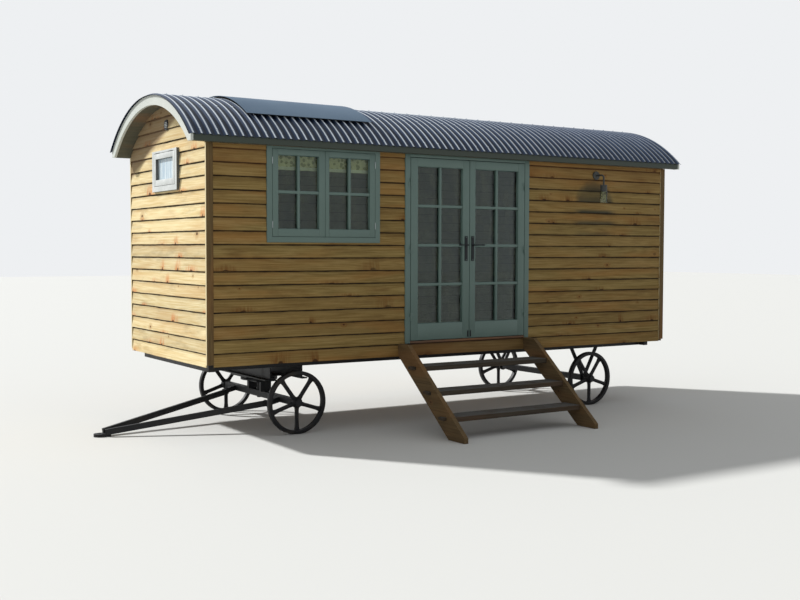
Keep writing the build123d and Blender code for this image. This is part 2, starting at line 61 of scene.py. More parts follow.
# The chassis
# Two rolled steel rails between end members, with cross members welded in and black paint all over.
# Flat bar guards hold the rear axle, and hexagon bolts hold the guards to the rails.
class Socket:
    """A number, colour or vector in a material, with Python's operators."""

    def __init__(self, finish, link):
        self.finish = finish
        self.link = link

    def maths(self, operation, *others):
        """What a Math node makes of this number and the others."""
        return self.finish.node("Math", dict(enumerate((self, *others))), {"operation": operation})

    def __add__(self, other):
        return self.maths("ADD", other)

    def __sub__(self, other):
        return self.maths("SUBTRACT", other)

    def __mul__(self, other):
        return self.maths("MULTIPLY", other)

    def __truediv__(self, other):
        return self.maths("DIVIDE", other)

    __radd__ = __add__
    __rmul__ = __mul__

    def output(self, name):
        """Another output of the same node."""
        return Socket(self.finish, self.link.node.outputs[name])

    def smooth(self, low, high):
        """0 below low, 1 above high and a smooth step between; low may be the larger."""
        values = {"Value": self, "From Min": low, "From Max": high}
        return self.finish.node("MapRange", values, {"interpolation_type": "SMOOTHSTEP"})


class Finish:
    """One material, or the world, made node by node."""

    def __init__(self, name, blocks=bpy.data.materials):
        self.block = blocks.new(name)
        self.block.use_nodes = True
        self.tree = self.block.node_tree
        self.tree.nodes.clear()

    def node(self, kind, values=None, settings=None):
        """A node of that type, as its first output. The values are numbers, colours or links."""
        made = self.tree.nodes.new("ShaderNode" + kind)
        for name, setting in (settings or {}).items():
            setattr(made, name, setting)
        sockets = [socket for socket in made.inputs if socket.enabled]
        for key, value in (values or {}).items():
            socket = sockets[key] if isinstance(key, int) else next(s for s in sockets if s.name == key)
            if isinstance(value, Socket):
                self.tree.links.new(value.link, socket)
            elif socket.type == "RGBA" and len(value) == 3:
                socket.default_value = chart(*value)
            else:
                socket.default_value = value
        outputs = [socket for socket in made.outputs if socket.enabled]
        return Socket(self, outputs[0]) if outputs else None

    def place(self):
        """Where a point of the piece lies, in metres."""
        return self.node("TexCoord").output("Object")

    def split(self, vector):
        """The three parts of a vector or a colour."""
        parts = self.node("SeparateXYZ", {"Vector": vector})
        return [parts.output(name) for name in "XYZ"]

    def join(self, x, y, z):
        return self.node("CombineXYZ", {"X": x, "Y": y, "Z": z})

    def mix(self, factor, first, second):
        """A colour between two, where 0 is the first."""
        return self.node("Mix", {"Factor": factor, "A": first, "B": second}, {"data_type": "RGBA"})

    def noise(self, where, scale, detail, roughness=0.55):
        """Fractal noise. The scale is one number, or one for each axis."""
        if isinstance(scale, tuple):
            where = self.node("VectorMath", {0: where, 1: scale}, {"operation": "MULTIPLY"})
            scale = 1.0
        values = {"Vector": where, "Scale": scale, "Detail": detail, "Roughness": roughness}
        return self.node("TexNoise", values)

    def bump(self, height, distance, strength=1.0):
        return self.node("Bump", {"Height": height, "Distance": distance, "Strength": strength})

    def surface(self, **values):
        """The finished surface. Names are the shader's sockets, with underscores for spaces."""
        named = {name.replace("_", " "): value for name, value in values.items()}
        self.node("OutputMaterial", {"Surface": self.node("BsdfPrincipled", named)})
        return self


def chart(red, green, blue):
    """A colour as a paint chart gives it, 0 to 255, as the linear colour that a shader takes."""
    linear = [c / 255 / 12.92 if c < 11 else ((c / 255 + 0.055) / 1.055) ** 2.4 for c in (red, green, blue)]
    return (*linear, 1.0)


def painted_steel(name, colour, dust, rough):
    """Brushed-on paint over steel, with road dust in patches and a little rust in the dust."""
    finish = Finish(name)
    where = finish.place()
    specks = finish.noise(where, 60.0, 3.0)
    dusty = finish.noise(where, 7.0, 6.0, 0.65).smooth(0.5, 0.75) * 0.55
    shade = finish.mix(dusty, colour, dust)
    shade = finish.mix(specks.smooth(0.62, 0.72) * 0.5, shade, (62, 44, 34))
    return finish.surface(
        Base_Color=shade, Roughness=rough + dusty * 0.35, Specular_IOR_Level=0.25,
        Normal=finish.bump(specks, 0.0006, 0.5))


def dress(node, finish, ease=0.0):
    """Gives a node its finish and, where ease is set, rounds its edges by that much."""
    piece = nodes[node]
    for held in piece.material_slots:
        held.material = finish.block
    modifiers = {
        "WELD": {"merge_threshold": 0.00002},
        "DECIMATE": {"decimate_type": "DISSOLVE", "angle_limit": math.radians(0.5)},
        "BEVEL": {"width": ease, "segments": 2, "limit_method": "ANGLE", "angle_limit": math.radians(40)},
        "WEIGHTED_NORMAL": {"weight": 90},
    }
    for kind, settings in modifiers.items() if ease else ():
        modifier = piece.modifiers.new(kind, kind)
        for name, setting in settings.items():
            setattr(modifier, name, setting)


def in_scene(name, data):
    """A new object, at the origin."""
    made = bpy.data.objects.new(name, data)
    bpy.context.scene.collection.objects.link(made)
    return made


def finish_piece(name, bm, finish, slot, *stands_for, body="hut", smooth_under=35):
    """Turns what was modelled into a piece that rides on a body, in place of the nodes it stands for."""
    mesh = bpy.data.meshes.new(name)
    for face in bm.faces:
        face.smooth = True
    bm.to_mesh(mesh)
    bm.free()
    mesh.set_sharp_from_angle(angle=math.radians(smooth_under))
    mesh.materials.append(finish.block)
    piece = in_scene(name, mesh)
    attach(piece, body)
    if stands_for:
        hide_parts(*stands_for)
    return piece


def facing(outward, place):
    """The turn and move that point a thing modelled along Z outwards at a place."""
    turn = Vector(outward).to_track_quat("Z", "Y").to_matrix().to_4x4()
    return Matrix.Translation(place) @ turn


def add_cone(bm, sides, foot, top, depth, where):
    """A closed cone or prism along the Z of a matrix."""
    bmesh.ops.create_cone(
        bm, cap_ends=True, segments=sides, radius1=foot, radius2=top, depth=depth, matrix=where)


def add_bolt(bm, place, outward, radius):
    """A hexagon head on a washer."""
    place = Vector(place)
    outward = Vector(outward)
    washer = facing(outward, place + outward * 0.0012)
    add_cone(bm, 16, radius * 1.45, radius * 1.4, 0.0024, washer)
    head = facing(outward, place + outward * (0.0024 + radius * 0.35))
    add_cone(bm, 6, radius, radius * 0.96, radius * 0.7, head)


chassis_paint = painted_steel("chassis_paint", (24, 25, 27), (58, 55, 50), 0.45)
for node, ease in (
    ("chassis_rails", 0.005), ("chassis_cross_members", 0.004), ("rear_axle_guards", 0.002),
    ("rear_axle", 0.003), ("turntable_frame", 0.002), ("front_axle", 0.002),
    ("towing_bar_arms", 0.003), ("towing_eye", 0.003),
):
    dress(node, chassis_paint, ease)

guard_low, guard_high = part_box("rear_axle_guards")
rail_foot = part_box("chassis_rails")[0].z
rear_x = middle("rear_axle", 0)
axle_z = middle("rear_axle", 2)
guard_bolts = ((0.17, rail_foot - 0.03, 0.009), (0.1315, rail_foot - 0.093, 0.009), (0.038, axle_z, 0.008))
bm = bmesh.new()
for side, face_y in ((-1, guard_low.y), (1, guard_high.y)):
    for along, z, radius in guard_bolts:
        for lean in (-1, 1):
            add_bolt(bm, (rear_x + lean * along, face_y, z), (0, side, 0), radius)
finish_piece("chassis_bolts", bm, chassis_paint, "black_steel")


# The wheels
# One-piece iron castings, painted black: a flat rim, five straight spokes that spread where they meet it,
# and a short bored hub. A collar and a split pin hold each on its axle.
def add_solid(bm, solid):
    """Adds a solid that was modelled apart."""
    mesh = bpy.data.meshes.new("solid")
    solid.to_mesh(mesh)
    solid.free()
    bm.from_mesh(mesh)
    bpy.data.meshes.remove(mesh)


def mirrored(half):
    """Half a turned outline, from one end to its middle, and the other half."""
    return half + [(radius, -along) for radius, along in reversed(half)]


def add_turned(bm, outline, centre, axis, steps):
    """A turned solid: (radius, along) points spun right round an axis through the centre."""
    turned = bmesh.new()
    points = [turned.verts.new((radius, 0.0, along)) for radius, along in outline]
    edges = [turned.edges.new(pair) for pair in zip(points, points[1:])]
    if outline[0][0] > 0:
        edges.append(turned.edges.new((points[-1], points[0])))
    bmesh.ops.spin(
        turned, geom=points + edges, cent=(0, 0, 0), axis=(0, 0, 1), angle=math.tau, steps=steps,
        use_merge=True)
    bmesh.ops.remove_doubles(turned, verts=turned.verts, dist=0.00001)
    bmesh.ops.recalc_face_normals(turned, faces=turned.faces)
    bmesh.ops.transform(turned, verts=turned.verts, matrix=facing(axis, centre))
    add_solid(bm, turned)


def ease_edges(bm, edges, offset):
    """Rounds edges off."""
    bmesh.ops.bevel(
        bm, geom=edges, offset=offset, offset_type="OFFSET", affect="EDGES", segments=2, profile=0.5,
        material=-1)


def add_bar(bm, low, high, ease=0.0015):
    """A squared length between two corners, with its edges eased."""
    low = Vector(low)
    high = Vector(high)
    made = bmesh.ops.create_cube(bm, size=1.0)["verts"]
    bmesh.ops.scale(bm, verts=made, vec=high - low)
    bmesh.ops.translate(bm, verts=made, vec=(low + high) / 2)
    if ease:
        ease_edges(bm, list(dict.fromkeys(edge for vert in made for edge in vert.link_edges)), ease)


def cut(bm, place, outward, clear=False):
    """Cuts a solid by a plane and gives the edges of the cut. What lies outwards may be dropped."""
    geometry = bm.verts[:] + bm.edges[:] + bm.faces[:]
    made = bmesh.ops.bisect_plane(
        bm, geom=geometry, dist=0.00001, plane_co=place, plane_no=outward, clear_outer=clear)
    return [edge for edge in made["geom_cut"] if isinstance(edge, bmesh.types.BMEdge)]


def add_spoke(bm, centre, angle, root, reach):
    """A flat spoke along its own length, spread at both ends, with a rib on each face."""
    turn = Matrix.Translation(centre) @ Matrix.Rotation(angle, 4, "Y")
    for width, thickness, spread in ((0.037, 0.018, 0.020), (0.014, 0.025, 0.004)):
        spoke = bmesh.new()
        bmesh.ops.create_cube(spoke, size=1.0)
        for index in range(1, SPOKE_PARTS):
            cut(spoke, (0, 0, index / SPOKE_PARTS - 0.5), (0, 0, 1))
        for vert in spoke.verts:
            share = vert.co.z + 0.5
            flare = max(0.0, (share - 0.72) / 0.28) ** 2 + 0.5 * max(0.0, (0.2 - share) / 0.2) ** 2
            vert.co.x *= width + spread * flare
            vert.co.y *= thickness
            vert.co.z = root + share * (reach - root)
        ease_edges(spoke, [edge for edge in spoke.edges if edge.calc_face_angle(0.0) > 1.0], 0.003)
        bmesh.ops.transform(spoke, verts=spoke.verts, matrix=turn)
        add_solid(bm, spoke)


RIM_WIDTH = 0.050
RIM_DEPTH = 0.036
HUB_RADIUS = 0.050
STUB_RADIUS = 0.0222
SPOKES = 5
SPOKE_PARTS = 14
PIN_RADIUS = 0.0035
PIN_HALF = 0.039
PIN_INSET = 0.007
cast_paint = painted_steel("cast_paint", (22, 22, 24), (66, 60, 52), 0.5)
for node in ("front_near_wheel", "front_far_wheel", "rear_near_wheel", "rear_far_wheel"):
    low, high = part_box(node)
    centre = (low + high) / 2
    radius = (high.z - low.z) / 2
    inner = radius - RIM_DEPTH
    edge = -RIM_WIDTH / 2
    end = (low.y - high.y) / 2
    bm = bmesh.new()
    rim = mirrored([
        (radius, edge + 0.004), (radius - 0.0015, edge + 0.0012), (radius - 0.004, edge),
        (inner + 0.003, edge), (inner, edge + 0.003)])
    add_turned(bm, rim, centre, (0, 1, 0), 72)
    nave = mirrored([
        (STUB_RADIUS, end), (HUB_RADIUS - 0.011, end), (HUB_RADIUS - 0.008, end + 0.003),
        (HUB_RADIUS - 0.006, end + 0.012), (HUB_RADIUS, end + 0.018)])
    add_turned(bm, nave, centre, (0, 1, 0), 40)
    for index in range(SPOKES):
        angle = math.radians(180 + index * 360 / SPOKES)
        add_spoke(bm, centre, angle, HUB_RADIUS - 0.006, inner + 0.004)
    finish_piece(node.replace("_wheel", "_casting"), bm, cast_paint, "cast_wheel", node, body=node)

front_x = middle("front_near_wheel", 0)
for axle, body, x in (("front_axle", "front_axle", front_x), ("rear_axle", "hut", rear_x)):
    low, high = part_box(axle)
    bm = bmesh.new()
    for y in (low.y + PIN_INSET, high.y - PIN_INSET):
        add_turned(bm, mirrored([(0, -PIN_HALF), (PIN_RADIUS, -PIN_HALF)]), (x, y, axle_z), (0.4, 0, 1), 10)
    finish_piece(axle + "_pins", bm, cast_paint, "cast_wheel", body=body)


# The floor and the lining
# Planed boards on the joists, and narrow painted boards inside the walls, with a V where two meet.
# They show only through the glass and are plain.
def boarded(name, axis, pitch, pale, deep, rough):
    """A flat surface of narrow boards, with the joints across one axis."""
    finish = Finish(name)
    where = finish.place()
    joint = (finish.split(where)[axis] / pitch).maths("FRACT")
    groove = joint.maths("PINGPONG", 0.5).smooth(0.0, 0.045)
    shade = finish.mix(finish.noise(where, 5.0, 5.0).smooth(0.35, 0.65), deep, pale)
    shade = finish.mix(groove, finish.mix(0.5, deep, (0.02, 0.02, 0.02, 1.0)), shade)
    return finish.surface(Base_Color=shade, Roughness=rough, Normal=finish.bump(groove, 0.002))


dress("floor", boarded("floor_boards", 1, 0.12, (158, 128, 92), (130, 102, 72), 0.5))
lining = boarded("wall_lining", 2, 0.096, (164, 158, 142), (146, 140, 124), 0.55)
for node in (
    "front_wall_left", "front_wall_right", "front_wall_over_door", "front_wall_under_door", "back_wall",
    "left_end_wall", "right_end_wall",
):
    dress(node, lining)


# The boarding
# Feather-edged oak boards, 148 mm deep and showing 118 mm, nailed over each other from the bottom up.
# Each foot stands out over the head of the board below and wanders, as sawn and waney oak does.
BOARD_BASE = 0.680
BOARD_SHOW = 0.1184
BOARD_DEPTH = 0.148
BOARD_FOOT = 0.0172
BOARD_HEEL = 0.0042
BOARD_HEAD = 0.0012
BOARD_STEP = 0.11
FIT = 0.0012
ROOF_RADIUS = 1.510
ARCH_RADIUS = 1.4105
roof_low, roof_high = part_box("roof_sheet")
roof_z = roof_high.z - ROOF_RADIUS


def clip(bm, place, outward):
    """Cuts a closed solid by a plane, drops what lies outwards and closes the cut."""
    edges = cut(bm, place, outward, True)
    if edges:
        bmesh.ops.edgeloop_fill(bm, edges=edges)


def lengthwise(edges):
    """The edges that run along X."""
    return [edge for edge in edges if abs(edge.verts[0].co.x - edge.verts[1].co.x) > 0.001]


def add_board(bm, tone, start, end, foot, low, high, arch):
    """One length of a course, along X with its face at +Y, cut to low and high beside an opening."""
    board = bmesh.new()
    layer = board.verts.layers.float.new("tone")
    bmesh.ops.create_cube(board, size=1.0)
    for vert in board.verts:
        at_foot = vert.co.z < 0
        front, behind = (BOARD_FOOT, BOARD_HEEL) if at_foot else (BOARD_HEAD, 0.0)
        vert.co = (
            start if vert.co.x < 0 else end, front if vert.co.y > 0 else behind,
            foot if at_foot else foot + BOARD_DEPTH)
    cuts = max(1, int((end - start) / BOARD_STEP))
    bmesh.ops.subdivide_edges(board, edges=lengthwise(board.edges), cuts=cuts, use_grid_fill=True)
    for vert in board.verts:
        if vert.co.z < foot + 0.001:
            slow = noise.noise(Vector((vert.co.x * 1.9, tone * 50, 0)))
            quick = noise.noise(Vector((vert.co.x * 7.0, tone * 90, 4)))
            vert.co.z += 0.0035 * slow + 0.0018 * quick
            if vert.co.y > BOARD_HEEL + 0.001:
                vert.co.y += 0.0014 * noise.noise(Vector((vert.co.x * 2.3, tone * 70, 9))) - 0.0006
    toes = [
        edge for edge in lengthwise(board.edges)
        if all(vert.co.y > BOARD_HEEL + 0.004 and vert.co.z < foot + 0.02 for vert in edge.verts)]
    ease_edges(board, toes, 0.0016)
    if low > foot:
        clip(board, (0, 0, low), (0, 0, -1))
    if high < foot + BOARD_DEPTH:
        clip(board, (0, 0, high), (0, 0, 1))
    for index in range(-24, 25) if arch else ():
        angle = math.radians(index * 2)
        outward = Vector((math.sin(angle), 0, math.cos(angle)))
        edge = Vector((middle_y, 0, roof_z)) + outward * ARCH_RADIUS
        if any((vert.co - edge).dot(outward) > 0 for vert in board.verts):
            clip(board, edge, outward)
    for vert in board.verts:
        vert[layer] = tone
    add_solid(bm, board)


def board_wall(name, finish, along, outward, face, start, end, top, openings, arch=False):
    """Every course of one wall. along and outward are the wall's own directions, face where it stands."""
    tones = random.Random(name)
    bm = bmesh.new()
    bm.verts.layers.float.new("tone")
    foot = BOARD_BASE
    while foot < top - 0.012:
        tone = tones.random()
        lengths = [(start + FIT, end - FIT, foot, min(foot + BOARD_DEPTH, top))]
        for left, right, base, lintel in openings:
            rest = []
            for x0, x1, low, high in lengths:
                if right <= x0 or left >= x1 or base >= high or lintel <= low:
                    rest.append((x0, x1, low, high))
                    continue
                if left - x0 > 0.01:
                    rest.append((x0, left - FIT, low, high))
                if x1 - right > 0.01:
                    rest.append((right + FIT, x1, low, high))
                if base - low > 0.006:
                    rest.append((left - FIT, right + FIT, low, base - FIT))
                if lintel < foot + BOARD_SHOW:
                    rest.append((left - FIT, right + FIT, lintel + FIT, high))
            lengths = rest
        for x0, x1, low, high in lengths:
            add_board(bm, tone, x0, x1, foot, low, high, arch)
        foot += BOARD_SHOW
    outward = Vector(outward)
    turn = Matrix((Vector(along), outward, Vector((0, 0, 1)))).transposed().to_4x4()
    bmesh.ops.transform(bm, verts=bm.verts, matrix=Matrix.Translation(outward * face) @ turn)
    bmesh.ops.recalc_face_normals(bm, faces=bm.faces)
    finish_piece(name, bm, finish, "oak_cladding")


def timber_axes(finish):
    """Where a point lies, its X, Y and Z by name, and the tone of its board."""
    where = finish.place()
    tone = finish.node("Attribute", None, {"attribute_name": "tone"}).output("Fac")
    return where, dict(zip("XYZ", finish.split(where))), tone


KNOTS_ALONG = 2.1
KNOTS_ACROSS = 8.4


def grained(finish, along, across, pale, deep, knot_share=0.4, knot_shade=(58, 36, 20), warmth=1.0):
    """The colour and the surface height of sawn timber, with its grain along one axis."""
    where, axes, tone = timber_axes(finish)
    u = axes.pop(along) + tone * 37.0
    v = axes.pop(across) + tone * 11.0
    grain = finish.join(u, v, axes.popitem()[1])
    fibre = finish.noise(grain, (1.5, 70.0, 70.0), 6.0, 0.7)
    seed = finish.join(u * KNOTS_ALONG, v * KNOTS_ACROSS, 0.0)
    cell = finish.node("TexVoronoi", {"Vector": seed, "Scale": 1.0}, {"voronoi_dimensions": "2D"})
    knot_u, knot_v, _ = finish.split(cell.output("Position"))
    lot, size, _ = finish.split(cell.output("Color"))
    du = u - knot_u / KNOTS_ALONG
    dv = v - knot_v / KNOTS_ACROSS
    wobble = finish.noise(where, 45.0, 2.0) * 0.006
    distance = (du * du * 0.45 + dv * dv).maths("SQRT") + wobble - 0.003
    ratio = distance / (size * size * 0.013 + 0.004)
    present = lot.smooth(0.99 - knot_share, 1.01 - knot_share)
    knot = ratio.smooth(1.15, 0.7) * present
    halo = ratio.smooth(4.5, 0.8) * present
    field = finish.noise(grain, (0.5, 9.0, 9.0), 2.0, 0.4)
    figure = ((field + halo * 0.1) * 13.0).maths("PINGPONG", 0.5) * 2.0
    slow = finish.noise(grain, (0.8, 5.0, 2.0), 2.0).smooth(0.45, 0.7)
    shade = finish.mix(fibre.smooth(0.3, 0.7) * 0.6 + figure * 0.3, deep, pale)
    shade = finish.mix(slow * (0.4 * warmth), shade, finish.mix(0.55, deep, (176, 112, 52)))
    shade = finish.mix(halo * (0.6 * warmth), shade, finish.mix(0.45, deep, (140, 76, 30)))
    shade = finish.mix(knot * 0.9, shade, knot_shade)
    return shade, fibre * 0.6 + figure * 0.25 - knot * 0.4


def timber(finish, shade, height, rough, gloss=0.5, relief=0.0012, strength=0.6):
    """The finished surface of timber with that colour and height."""
    return finish.surface(
        Base_Color=shade, Roughness=rough, Specular_IOR_Level=gloss,
        Normal=finish.bump(height, relief, strength))


HANGING_KNOTS = 2.6


def boarding_finish(name, along, pale, deep, rust, contrast):
    """Oiled oak boards: each its own tint, with dark knots and rusty stains that hang at the foot of some,
    blotches along them, and painted shade: darker toward the top of each board, with a painted shadow
    line under each lap and along each foot."""
    finish = Finish(name)
    shade, height = grained(finish, along, "Z", pale, deep, 0.14)
    where, axes, tone = timber_axes(finish)
    up = ((axes["Z"] - BOARD_BASE) / BOARD_SHOW).maths("FRACT")
    u = axes[along] + tone * 53.0
    lay = finish.join(u, axes["Z"], tone)
    blotch = finish.noise(lay, (2.2, 8.0, 9.0), 4.0, 0.6)
    for share, stain_and_shade in (
        ((tone * 17.3).maths("FRACT") * 0.175, (128, 76, 34)),
        ((tone * 41.7).maths("FRACT").smooth(0.55, 1.0) * 0.2, (70, 62, 44)),
        (blotch.smooth(0.5, 0.72) * 0.3, (78, 52, 26)),
        (blotch.smooth(0.5, 0.3) * 0.12, (190, 168, 118)),
    ):
        shade = finish.mix(share * contrast, shade, stain_and_shade)
    hang = finish.node(
        "TexVoronoi", {"W": u * HANGING_KNOTS, "Scale": 1.0}, {"voronoi_dimensions": "1D"})
    lot, width, tall = finish.split(hang.output("Color"))
    aside = (u - hang.output("W") / HANGING_KNOTS) / (width * 0.030 + 0.010)
    above = up * BOARD_SHOW / (tall * 0.020 + 0.006)
    reach = (aside * aside + above * above).maths("SQRT") + finish.noise(where, 30.0, 3.0) * 0.7 - 0.35
    some = lot.smooth(0.66, 0.70)
    streaky = finish.noise(lay, (45.0, 5.0, 5.0), 3.0).smooth(0.3, 0.65)
    drift = finish.noise(where, 6.0, 4.0)
    wavy = finish.noise(finish.join(u * 3.4, tone * 7.0, 0.0), 1.0, 3.0)
    lap = up + (wavy - 0.5) * 0.16
    for share, stain_and_shade in (
        (reach.smooth(6.0, 1.0) * some * streaky * 0.75, rust),
        (reach.smooth(1.2, 0.7) * some * (0.3 + 0.55 * contrast), (48, 28, 14)),
        # Painted shade: darker toward the top of each board, a painted shadow line under each lap, and
        # painted shade along each foot.
        (up.smooth(0.55, 1.0) * 0.255, (52, 34, 18)),
        (lap.smooth(0.86, 0.94) * (0.62 + drift * 0.6), (24, 15, 8)),
        (up.smooth(0.06, 0.0) * drift.smooth(0.3, 0.6) * 0.45, (70, 48, 28)),
    ):
        shade = finish.mix(share, shade, stain_and_shade)
    return finish, shade, height, axes, up


# The right part of the front carries the grey weather stain that the wall lamp has left behind itself: a dome
# over two boards, and a dark band along the foot of the next ones. The boards under the door carry painted
# shade.
STAIN_HALF = 0.28
STAIN_RISE = 0.230
SOFT_EDGE = 0.004
lamp_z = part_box("lamp_jar")[0].z
lamp_x = middle("lamp_jar", 0)
door_low, door_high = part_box("door_frame")
door_x = middle("door_frame", 0)
front_oak, shade, height, axes, up = boarding_finish(
    "front_oak", "X", (158, 136, 84), (108, 89, 48), (104, 64, 28), 1.0)
warm = axes["Z"].smooth(body_high.z - 0.35, body_high.z - 0.05)
shade = front_oak.mix(warm * 0.225, shade, (136, 88, 44))
sooted = axes["X"].smooth(lamp_x - 2.6, lamp_x - 1.8)
aside = (axes["X"] - (lamp_x - 0.01)) / STAIN_HALF
above = (axes["Z"] - (lamp_z + 0.02)) / STAIN_RISE
ragged = front_oak.noise(front_oak.place(), 8.0, 4.0)
dome = (aside * aside + above * above + ragged * 0.6).smooth(1.36, 0.85) * above.smooth(-0.08, 0.0)
dome = dome * (0.6 + up.smooth(0.75, 0.02) * 0.4) * 0.8
band = (aside * aside * 0.7 + ragged * 0.5).smooth(1.25, 0.5) * up.smooth(0.42, 0.05)
band = band * above.smooth(0.0, -0.06) * above.smooth(-2.2, -0.6) * 0.95
shade = front_oak.mix((dome + band) * sooted, shade, (62, 62, 50))
# Painted shade on the boards under the door.
from_door = (axes["X"] - door_x).maths("ABSOLUTE") - (door_high.x - door_x)
under_door = from_door.smooth(SOFT_EDGE, -SOFT_EDGE)
under_door = under_door * axes["Z"].smooth(door_low.z + SOFT_EDGE, door_low.z - SOFT_EDGE)
timber(front_oak, front_oak.mix(under_door * 0.4, shade, (84, 60, 42)), height, 0.66, 0.12)

hidden_oak = []
for name, along in (("back_oak", "X"), ("far_end_oak", "Y")):
    finish, shade, height, axes, up = boarding_finish(
        name, along, (158, 132, 82), (112, 88, 48), (108, 66, 30), 0.9)
    hidden_oak.append(timber(finish, shade, height, 0.66, 0.2))

# The towing end's boards are paler, partly bleached and partly painted light for the sun on this end.
# The boards above a slanting line under the roof's overhang carry its painted shadow.
SLANT = 0.385
# Paler colours for this end: real bleaching and painted light.
end_oak, shade, height, axes, up = boarding_finish(
    "end_oak", "Y", (242, 230, 188), (208, 181, 126), (196, 108, 44), 0.85)
# Painted shadow of the roof's overhang, above a slanting line.
slanting = axes["Z"] - roof_z + axes["Y"] * SLANT
painted_shade = slanting.smooth(1.13 + middle_y * SLANT, 1.20 + middle_y * SLANT)
timber(end_oak, end_oak.mix(painted_shade * 0.738, shade, (104, 81, 60)), height, 0.7, 0.08)


def opening(node, axis):
    """The outside of a frame in a wall, as start, end, base and top."""
    low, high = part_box(node)
    return low[axis], high[axis], low.z, high.z


CORNER_WIDE = 0.065
CORNER_EDGE = 0.026
long_wall = (body_low.x + CORNER_WIDE, body_high.x - CORNER_WIDE, body_high.z - FIT)
end_wall = (body_low.y + CORNER_EDGE, body_high.y - CORNER_EDGE, roof_z + ARCH_RADIUS)
front_openings = [opening("front_window_frame", 0), opening("door_frame", 0)]
board_wall(
    "front_boarding", front_oak, (1, 0, 0), (0, -1, 0), -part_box("front_wall_right")[0].y, *long_wall,
    front_openings)
board_wall(
    "back_boarding", hidden_oak[0], (1, 0, 0), (0, 1, 0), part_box("back_wall")[1].y, *long_wall, [])
board_wall(
    "left_end_boarding", end_oak, (0, 1, 0), (-1, 0, 0), -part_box("left_end_wall")[0].x, *end_wall,
    [opening("end_window_frame", 1)], True)
board_wall(
    "right_end_boarding", hidden_oak[1], (0, 1, 0), (1, 0, 0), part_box("right_end_wall")[1].x, *end_wall,
    [], True)


# The corner boards
# A planed oak board folded round each corner, which the boarding butts against. The edges that face the
# towing end stand in the sun and are paler, partly bleached and partly painted light.
corner_oak = Finish("corner_oak")
shade, height = grained(corner_oak, "Z", "X", (108, 88, 54), (78, 61, 35), 0.2)
toward_x = corner_oak.split(corner_oak.node("NewGeometry").output("Normal"))[0]
# Paler faces toward the towing end: real bleaching and painted light.
shade = corner_oak.mix(toward_x.smooth(-0.4, -0.8), shade, (204, 188, 148))
dress("corner_boards", timber(corner_oak, shade, height, 0.65, 0.2, 0.001, 0.5), 0.003)


# The roof deck
# Planed softwood boards laid along the hut on curved rafters. They show under the overhang at each end
# and as the ceiling, with a V at each joint.
DECK_BOARDS = 22
DECK_THICK = 0.080
DECK_GROOVE = 0.0025
DECK_HALF_ANGLE = math.radians(44.9)
axis_point = Vector((0, middle_y, roof_z))


def radial(angle):
    """The direction away from the roof's axis, at an angle from the crown."""
    return Vector((0, math.sin(angle), math.cos(angle)))


def add_arc_plate(bm, x0, x1, inner, outer, half, steps, turn=0.0):
    """A plate bent round the roof's axis, between two X places and two radii."""
    places = [(x0, inner), (x1, inner), (x1, outer), (x0, outer)]
    loop = [bm.verts.new(Vector((x, 0, 0)) + axis_point + radial(turn - half) * r) for x, r in places]
    face = bm.faces.new(loop)
    bmesh.ops.spin(
        bm, geom=[face] + face.edges[:] + loop, cent=axis_point, axis=(-1, 0, 0), angle=2 * half, steps=steps)
    bmesh.ops.recalc_face_normals(bm, faces=bm.faces)


deck_low, deck_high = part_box("roof_deck")
deck_outer = deck_high.z - roof_z
deck_inner = deck_outer - DECK_THICK
bm = bmesh.new()
add_arc_plate(bm, deck_low.x, deck_high.x, deck_inner, deck_outer, DECK_HALF_ANGLE, DECK_BOARDS)
inner_faces = []
for face in bm.faces:
    away = face.calc_center_median() - axis_point
    if abs(face.normal.x) < 0.5 and away.dot(face.normal) < 0 and abs(away.yz.length - deck_inner) < 0.01:
        inner_faces.append(face)
bmesh.ops.inset_individual(bm, faces=inner_faces, thickness=DECK_GROOVE)
clip(bm, (0, 0, deck_low.z), (0, 0, -1))
clip(bm, (0, deck_low.y, 0), (0, -1, 0))
clip(bm, (0, deck_high.y, 0), (0, 1, 0))
bmesh.ops.recalc_face_normals(bm, faces=bm.faces)
ceiling = Finish("deck_boards")
shade, height = grained(ceiling, "X", "Y", (88, 86, 68), (66, 63, 47), 0.5, (36, 30, 20))
timber(ceiling, shade, height, 0.65, 0.5, 0.0008, 0.5)
finish_piece("deck_boards", bm, ceiling, "roof_boards", "roof_deck", smooth_under=20)


# The roof sheets
# Curved corrugated steel, 76 mm from crest to crest and 18 mm deep, with a satin slate coating. Each
# sheet laps the next by half a corrugation and is screwed through its crests. The crests carry a painted
# highlight, stronger toward the towing end, and the valleys painted shade.
SHEETS = 11
PITCHES_PER_SHEET = 7
WAVE_STEPS = 10
ROOF_STEPS = 40
SHEET_THICK = 0.0009
LAP = 0.0011
WAVE_DEPTH = 0.018
half_angle = math.asin((roof_high.y - roof_low.y) / 2 / ROOF_RADIUS)
pitch = (roof_high.x - roof_low.x) / (SHEETS * PITCHES_PER_SHEET)
swell = (WAVE_DEPTH - SHEET_THICK - LAP) / 2
bm = bmesh.new()
for sheet in range(SHEETS):
    first_x = roof_low.x + sheet * PITCHES_PER_SHEET * pitch
    lap_pitches = 0.5 if sheet < SHEETS - 1 else 0.0
    line = []
    for index in range(int((PITCHES_PER_SHEET + lap_pitches) * WAVE_STEPS) + 1):
        along = index / WAVE_STEPS
        lift = LAP * (1 - along / (PITCHES_PER_SHEET + 0.5)) if sheet else 0.0
        radius = ROOF_RADIUS - SHEET_THICK - LAP - swell - swell * math.cos(math.tau * along) + lift
        place = axis_point + Vector((first_x + along * pitch, 0, 0))
        line.append(bm.verts.new(place + radial(-half_angle) * radius))
    edges = [bm.edges.new(pair) for pair in zip(line, line[1:])]
    bmesh.ops.spin(
        bm, geom=line + edges, cent=axis_point, axis=(-1, 0, 0), angle=2 * half_angle, steps=ROOF_STEPS)
